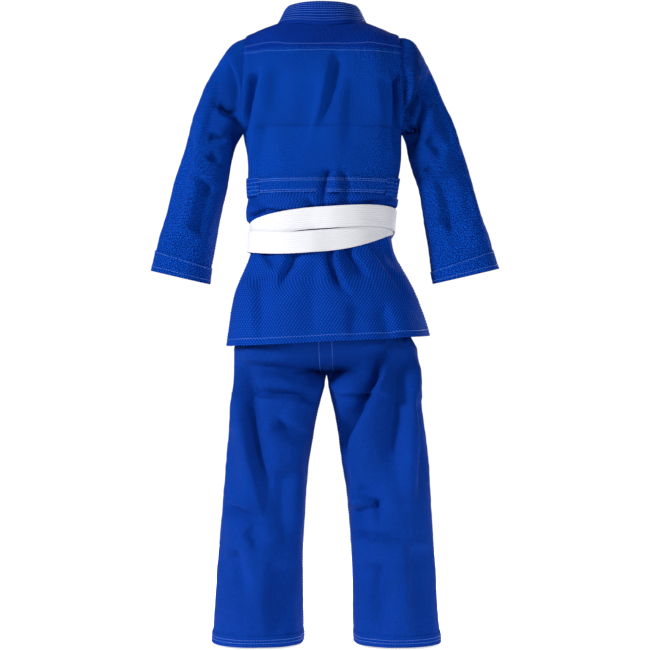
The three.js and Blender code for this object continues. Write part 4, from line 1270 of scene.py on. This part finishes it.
def knot_loop(radius_y, radius_z, width, tilt, turn_z):
    """A strap that goes round the knot, over its top and under it."""
    turns = ring(72, 0)[None, :]
    across = np.linspace(-width / 2, width / 2, 13)[:, None]
    squeeze = 1 - 0.16 * (2 * across / width) ** 2
    y = radius_y * squeeze * power(np.cos(turns), 0.75)
    z = radius_z * squeeze * power(np.sin(turns), 0.75)
    x = across + tilt * z / radius_z
    c, s = np.cos(turn_z), np.sin(turn_z)
    return xyz(KNOT_X + x * c - z * s, KNOT_Y + y, -KNOT_LEVEL + x * s + z * c)


sew(
    "knot_outer_loop", knot_loop(11.4, 20.5, 34, 3, 0.1), BELT_CLOTH, "uniform",
    BELT, ["belt_knot"], closed=True, swell=(0.3, 30),
)
base = knot_loop(8.6, 15.5, 62, -4, -0.22)
sew(
    "knot_inner_turn", base, BELT_CLOTH, "uniform", BELT, ["belt_knot"],
    closed=True, swell=(0.6, 26),
)
tails = {}
for side, name in SIDES:

    def tail_point(across, level):
        down = level - TAIL_TOP
        x = KNOT_X + side * (BELT_WIDTH / 2 + 1 + TAIL_SPREAD * down) + across
        turned = side * TAIL_SPREAD * across * rise(down, 0, 60)
        stand = float(KNOT_BACK) + BELT_CLOTH / 2 + 3 * rise(down, 0, 90)
        return xyz(x, -(half_depth(level) + stand), -level - turned)

    base = grid(
        tail_point, ACROSS_BELT, spaced(TAIL_TOP - 2, TAIL_TOP + TAIL_LENGTH, TAIL_LENGTH + 2, 3)
    )
    tails[name] = sew(
        f"belt_tail_{name}_webbing", base, BELT_CLOTH, f"belt_tail_{name}", BELT,
        [f"belt_tail_{name}"], swell=(1.0, 90),
        centre=(0, 0, 0),
    )

# ---------------------------------------------------------------- trousers
trousers, hems, knees = {}, {}, {}
for name, (side, stops) in LEGS.items():
    base = grid(
        lambda a, b: trouser_point(name, a, b, TROUSER_CLOTH / 2),
        np.linspace(-0.0016, 1.0016, 141), spaced(TROUSER_WAIST, TROUSER_HEM - 2, 823, 4.2),
    )
    trousers[name] = sew(
        f"trouser_{name}_cloth", base, TROUSER_CLOTH, f"leg_{name}", TROUSERS,
        [f"leg_back_{name}", f"leg_front_{name}", f"seat_back_{name}", f"seat_front_{name}"],
        folds=TROUSER_FOLDS, swell=(2.0, 85), pinned="tlr",
        pin_width=12,
    )
    turns = ring(140)
    base = grid(
        lambda a, b: leg_point(stops, a, b, TROUSER_CLOTH + 0.7), turns,
        spaced(TROUSER_HEM - HEM_BAND, TROUSER_HEM, 22, 2.4),
    )
    hems[name] = sew(
        f"trouser_hem_{name}_cloth", base, HEM_CLOTH, f"leg_{name}", TROUSERS,
        [f"hem_band_{name}"], folds=TROUSER_FOLDS, closed=True, swell=(2.0, 85),
    )
    base = grid(
        lambda a, b: leg_point(stops, a, b, TROUSER_CLOTH + 1.2),
        spaced(-np.pi + 0.45, -0.45, 200, 4), spaced(*KNEE_PATCH, 225, 4),
    )
    knees[name] = sew(
        f"knee_patch_{name}_cloth", base, TAPE_CLOTH, f"leg_{name}", TROUSERS,
        [f"knee_patch_{name}"], folds=TROUSER_FOLDS,
        swell=(2.0, 85), centre=(0, 40, 0),
    )
WAISTBAND_X = 2
LOOP_X = 22  # to each side of the middle
LOOP_LEVEL = 388
LOOP_HALF_HEIGHT = 14
band_width, band_depth = WAISTBAND_HALF
for side, name in SIDES:
    loop_turn = np.arccos((LOOP_X / band_width) ** (ROUNDNESS / 2))
    loop_y = -(band_depth * sin_power(loop_turn) + 4.6)
    base = grid(
        lambda a, b: xyz(
            WAISTBAND_X + side * LOOP_X + a,
            loop_y - 0.6 * np.cos(b * np.pi),
            -LOOP_LEVEL - LOOP_HALF_HEIGHT * b,
        ),
        np.linspace(-4.5, 4.5, 5), np.linspace(-1, 1, 15),
    )
    loop = sew(
        f"drawstring_loop_{name}_cloth", base, LOOP_CLOTH, "uniform", TROUSERS,
        [f"drawstring_loop_{name}"], centre=(0, 0, 0),
    )
base = grid(
    lambda a, b: xyz(
        WAISTBAND_X + (band_width + 1.6) * cos_power(a), (band_depth + 1.6) * sin_power(a), -b
    ),
    spaced(np.pi * 1.5 - 0.007, 0.007 - np.pi / 2, 730, 5),
    spaced(TROUSER_WAIST - WAISTBAND_HEIGHT, TROUSER_WAIST + 1, 35, 4),
)
sew(
    "waistband_cloth", base, WAISTBAND_CLOTH, "uniform", TROUSERS,
    ["trouser_waistband"], centre=(0, 0, 0),
    relief=0.35 * np.sin(base[..., 0] * TURN / 15),
)


# ---------------------------------------------------------------- stitches
def stitch_tree(thread):
    """Geometry Nodes: short threads laid end to end along paths."""
    tree = bpy.data.node_groups.new("stitches", "GeometryNodeTree")
    face = tree.interface
    face.new_socket("Paths", in_out="INPUT", socket_type="NodeSocketGeometry")
    sizes = {"Stitch pitch": 0.0058, "Stitch length": 0.0042, "Thread radius": 0.00055}
    for name, size in sizes.items():
        face.new_socket(name, in_out="INPUT", socket_type="NodeSocketFloat").default_value = size
    face.new_socket("Stitches", in_out="OUTPUT", socket_type="NodeSocketGeometry")
    start = node(tree, "NodeGroupInput")
    curve = node(tree, "GeometryNodeMeshToCurve", {"Mesh": start.outputs["Paths"]})
    spots = node(
        tree, "GeometryNodeResampleCurve",
        {"Curve": curve.outputs["Curve"], "Length": start.outputs["Stitch pitch"]}, mode="LENGTH",
    )
    thread_shape = node(
        tree, "GeometryNodeMeshCylinder",
        {"Radius": start.outputs["Thread radius"], "Depth": start.outputs["Stitch length"]},
        {"Vertices": 5},
    )
    tangent = node(tree, "GeometryNodeInputTangent")
    turned = node(
        tree, "FunctionNodeAlignRotationToVector", {"Vector": tangent.outputs["Tangent"]}, axis="Z"
    )
    laid = node(
        tree, "GeometryNodeInstanceOnPoints",
        {
            "Points": spots.outputs["Curve"],
            "Instance": thread_shape.outputs["Mesh"],
            "Rotation": turned.outputs["Rotation"],
        },
    )
    real = node(tree, "GeometryNodeRealizeInstances", {"Geometry": laid.outputs["Instances"]})
    dressed = node(
        tree, "GeometryNodeSetMaterial", {"Geometry": real.outputs["Geometry"]},
        {"Material": thread},
    )
    node(tree, "NodeGroupOutput", {"Stitches": dressed.outputs["Geometry"]})
    return tree


STITCHES = stitch_tree(THREAD)
WHITE_STITCHES = stitch_tree(WHITE_THREAD)


def stitch(name, body, paths, tree=STITCHES, pitch=0.0058, length=0.0042, radius=0.00055):
    """Lays stitches along paths of points in millimetres, as one mesh on one body."""
    guide = bpy.data.meshes.new(name)
    counts = [len(path) for path in paths]
    starts = np.cumsum([0, *counts])
    edges = [(s + k, s + k + 1) for s, n in zip(starts, counts) for k in range(n - 1)]
    guide.from_pydata((np.concatenate(paths) * MM).tolist(), edges, [])
    row = add_object(name + "_paths", guide)
    sizes = {"Stitch pitch": pitch, "Stitch length": length, "Thread radius": radius}
    modifier = row.modifiers.new("stitches", "NODES")
    modifier.node_group = tree
    for item in tree.interface.items_tree:
        if item.in_out == "INPUT" and item.name in sizes:
            modifier[item.identifier] = sizes[item.name]
    row.update_tag()
    depsgraph = bpy.context.evaluated_depsgraph_get()
    mesh = bpy.data.meshes.new_from_object(row.evaluated_get(depsgraph))
    bpy.data.objects.remove(row)
    mesh.name = name
    piece = add_object(name, mesh)
    go_with(piece, body)


LONG = np.linspace(0, 1, 240)


def across_path(panel, down, start=0.005, end=0.995):
    return panel.at(mix(start, end, LONG), down)


def down_path(panel, across, start=0.005, end=0.995):
    return panel.at(across, mix(start, end, LONG))


jacket_rows = [
    across_path(upper_back, 0.025, 0.02, 0.98),
    across_path(yoke_back, 0.9, 0.02, 0.98),
    *(across_path(tape, k) for k in (0.08, 0.2, 0.8, 0.92)),
    across_path(collar, BAND_BELOW_SEAM / (1 + BAND_BELOW_SEAM) + 0.02),
]
jacket_rows += [
    across_path(collar, (BAND_BELOW_SEAM + k / QUILT_ROWS) / (1 + BAND_BELOW_SEAM))
    for k in range(1, QUILT_ROWS)
]
for name in ("left", "right"):
    jacket_rows += [across_path(patches[name], k, 0.02, 0.98) for k in (0.1, 0.3, 0.5, 0.7, 0.9)]
    jacket_rows += [across_path(fronts[name], 0.03, 0.05), across_path(yokes[name], 0.95, 0.05)]
stitch("jacket_stitches", "uniform", jacket_rows)
for name in ("left", "right"):
    rows = [down_path(lapels[name], k / QUILT_ROWS, 0.01, 0.99) for k in range(1, QUILT_ROWS)]
    rows += [across_path(skirts[name], 0.96), down_path(skirts[name], 0.985, 0.45)]
    stitch(f"skirt_front_{name}_stitches", f"skirt_front_{name}", rows)
    rows = [across_path(cuffs[name], k) for k in (0.08, 0.72)]
    rows.append(down_path(sleeves[name], 0.03, 0.08, 0.9))
    stitch(f"sleeve_{name}_stitches", f"sleeve_{name}", rows)
    rows = [across_path(hems[name], 0.35), across_path(hems[name], 0.62)]
    rows += [down_path(trousers[name], k, 0.25, 0.97) for k in (0.012, 0.985)]
    patch = knees[name]
    rows += [across_path(patch, k, 0.02, 0.98) for k in (0.015, 0.985)]
    rows += [down_path(patch, k, 0.015, 0.985) for k in (0.02, 0.98)]
    stitch(f"trouser_{name}_stitches", f"leg_{name}", rows)
    tail = tails[name]
    rows = [across_path(tail, 0.985, 0.08, 0.92), across_path(tail, 0.93, 0.08, 0.92)]
    stitch(f"belt_tail_{name}_stitches", f"belt_tail_{name}", rows, WHITE_STITCHES)
stitch(
    "skirt_back_stitches", "skirt_back",
    [
        across_path(skirt_back, 0.96, 0.01, 0.99),
        down_path(skirt_back, 0.02, 0.5, 0.96),
        down_path(skirt_back, 0.98, 0.5, 0.96),
    ],
)

# ---------------------------------------------------------------- studio, in metres
FLOOR_RADIUS = 1.5
FLOOR_GAP = 0.004  # below the hems
CAMERA_DISTANCE = 3.28
PICTURE_WIDTH = 1.3  # at the wearer
SENSOR_MM = 36

scene = bpy.context.scene
floor_mesh = bpy.data.meshes.new("studio_floor")
rim_turns = ring(96, 0)
rim = FLOOR_RADIUS * np.stack([np.cos(rim_turns), np.sin(rim_turns)], -1)
floor_level = -TROUSER_HEM * MM - FLOOR_GAP
floor_mesh.from_pydata([(x, y, floor_level) for x, y in rim], [], [tuple(range(len(rim)))])
paper = bpy.data.materials.new("white_backdrop_paper")
paper.use_nodes = True
inputs = paper.node_tree.nodes["Principled BSDF"].inputs
inputs["Base Color"].default_value = linear("#FBFBFB")
inputs["Roughness"].default_value = 0.95
inputs["Emission Color"].default_value = (1, 1, 1, 1)
inputs["Emission Strength"].default_value = 0.7
put(floor_mesh, paper)

world = bpy.data.worlds.new("studio")
scene.world = world
sky = emptied(world)
seen = node(sky, "ShaderNodeBackground", {}, {"Color": (1, 1, 1, 1), "Strength": 1.02})
fill = node(sky, "ShaderNodeBackground", {}, {"Color": (0.95, 0.97, 1, 1), "Strength": 0.16})
ray = node(sky, "ShaderNodeLightPath")
both = node(
    sky, "ShaderNodeMixShader",
    {0: ray.outputs["Is Camera Ray"], 1: fill.outputs[0], 2: seen.outputs[0]},
)
node(sky, "ShaderNodeOutputWorld", {"Surface": both.outputs[0]})
scene.view_settings.view_transform = "Standard"


def softbox(name, spot, aim, size, power_watts):
    lamp = bpy.data.lights.new(name, "AREA")
    lamp.shape = "RECTANGLE"
    lamp.size, lamp.size_y = size
    lamp.energy = power_watts
    light = add_object(name, lamp)
    light.location = spot
    direction = Vector(aim) - Vector(spot)
    light.rotation_euler = direction.to_track_quat("-Z", "Y").to_euler()


softbox("key_softbox", (3.0, 1.7, 0.7), (0, 0, -0.5), (0.5, 0.8), 150)
softbox("side_softbox", (-2.6, 2.2, 0.2), (0, 0, -0.6), (0.5, 1.2), 38)
softbox("front_softbox", (-1.8, -2.3, 0.7), (0, 0, -0.5), (0.8, 1.2), 80)
softbox("rear_softbox", (0.3, 2.5, 0.4), (0, 0, -0.7), (1.2, 1.2), 14)

camera_data = bpy.data.cameras.new("camera")
camera_data.sensor_width = SENSOR_MM
camera_data.lens = SENSOR_MM * CAMERA_DISTANCE / PICTURE_WIDTH
camera = add_object("camera", camera_data)
camera.location = (-0.005, CAMERA_DISTANCE, -0.6)
camera.rotation_euler = (np.pi / 2, 0, np.pi)
scene.camera = camera
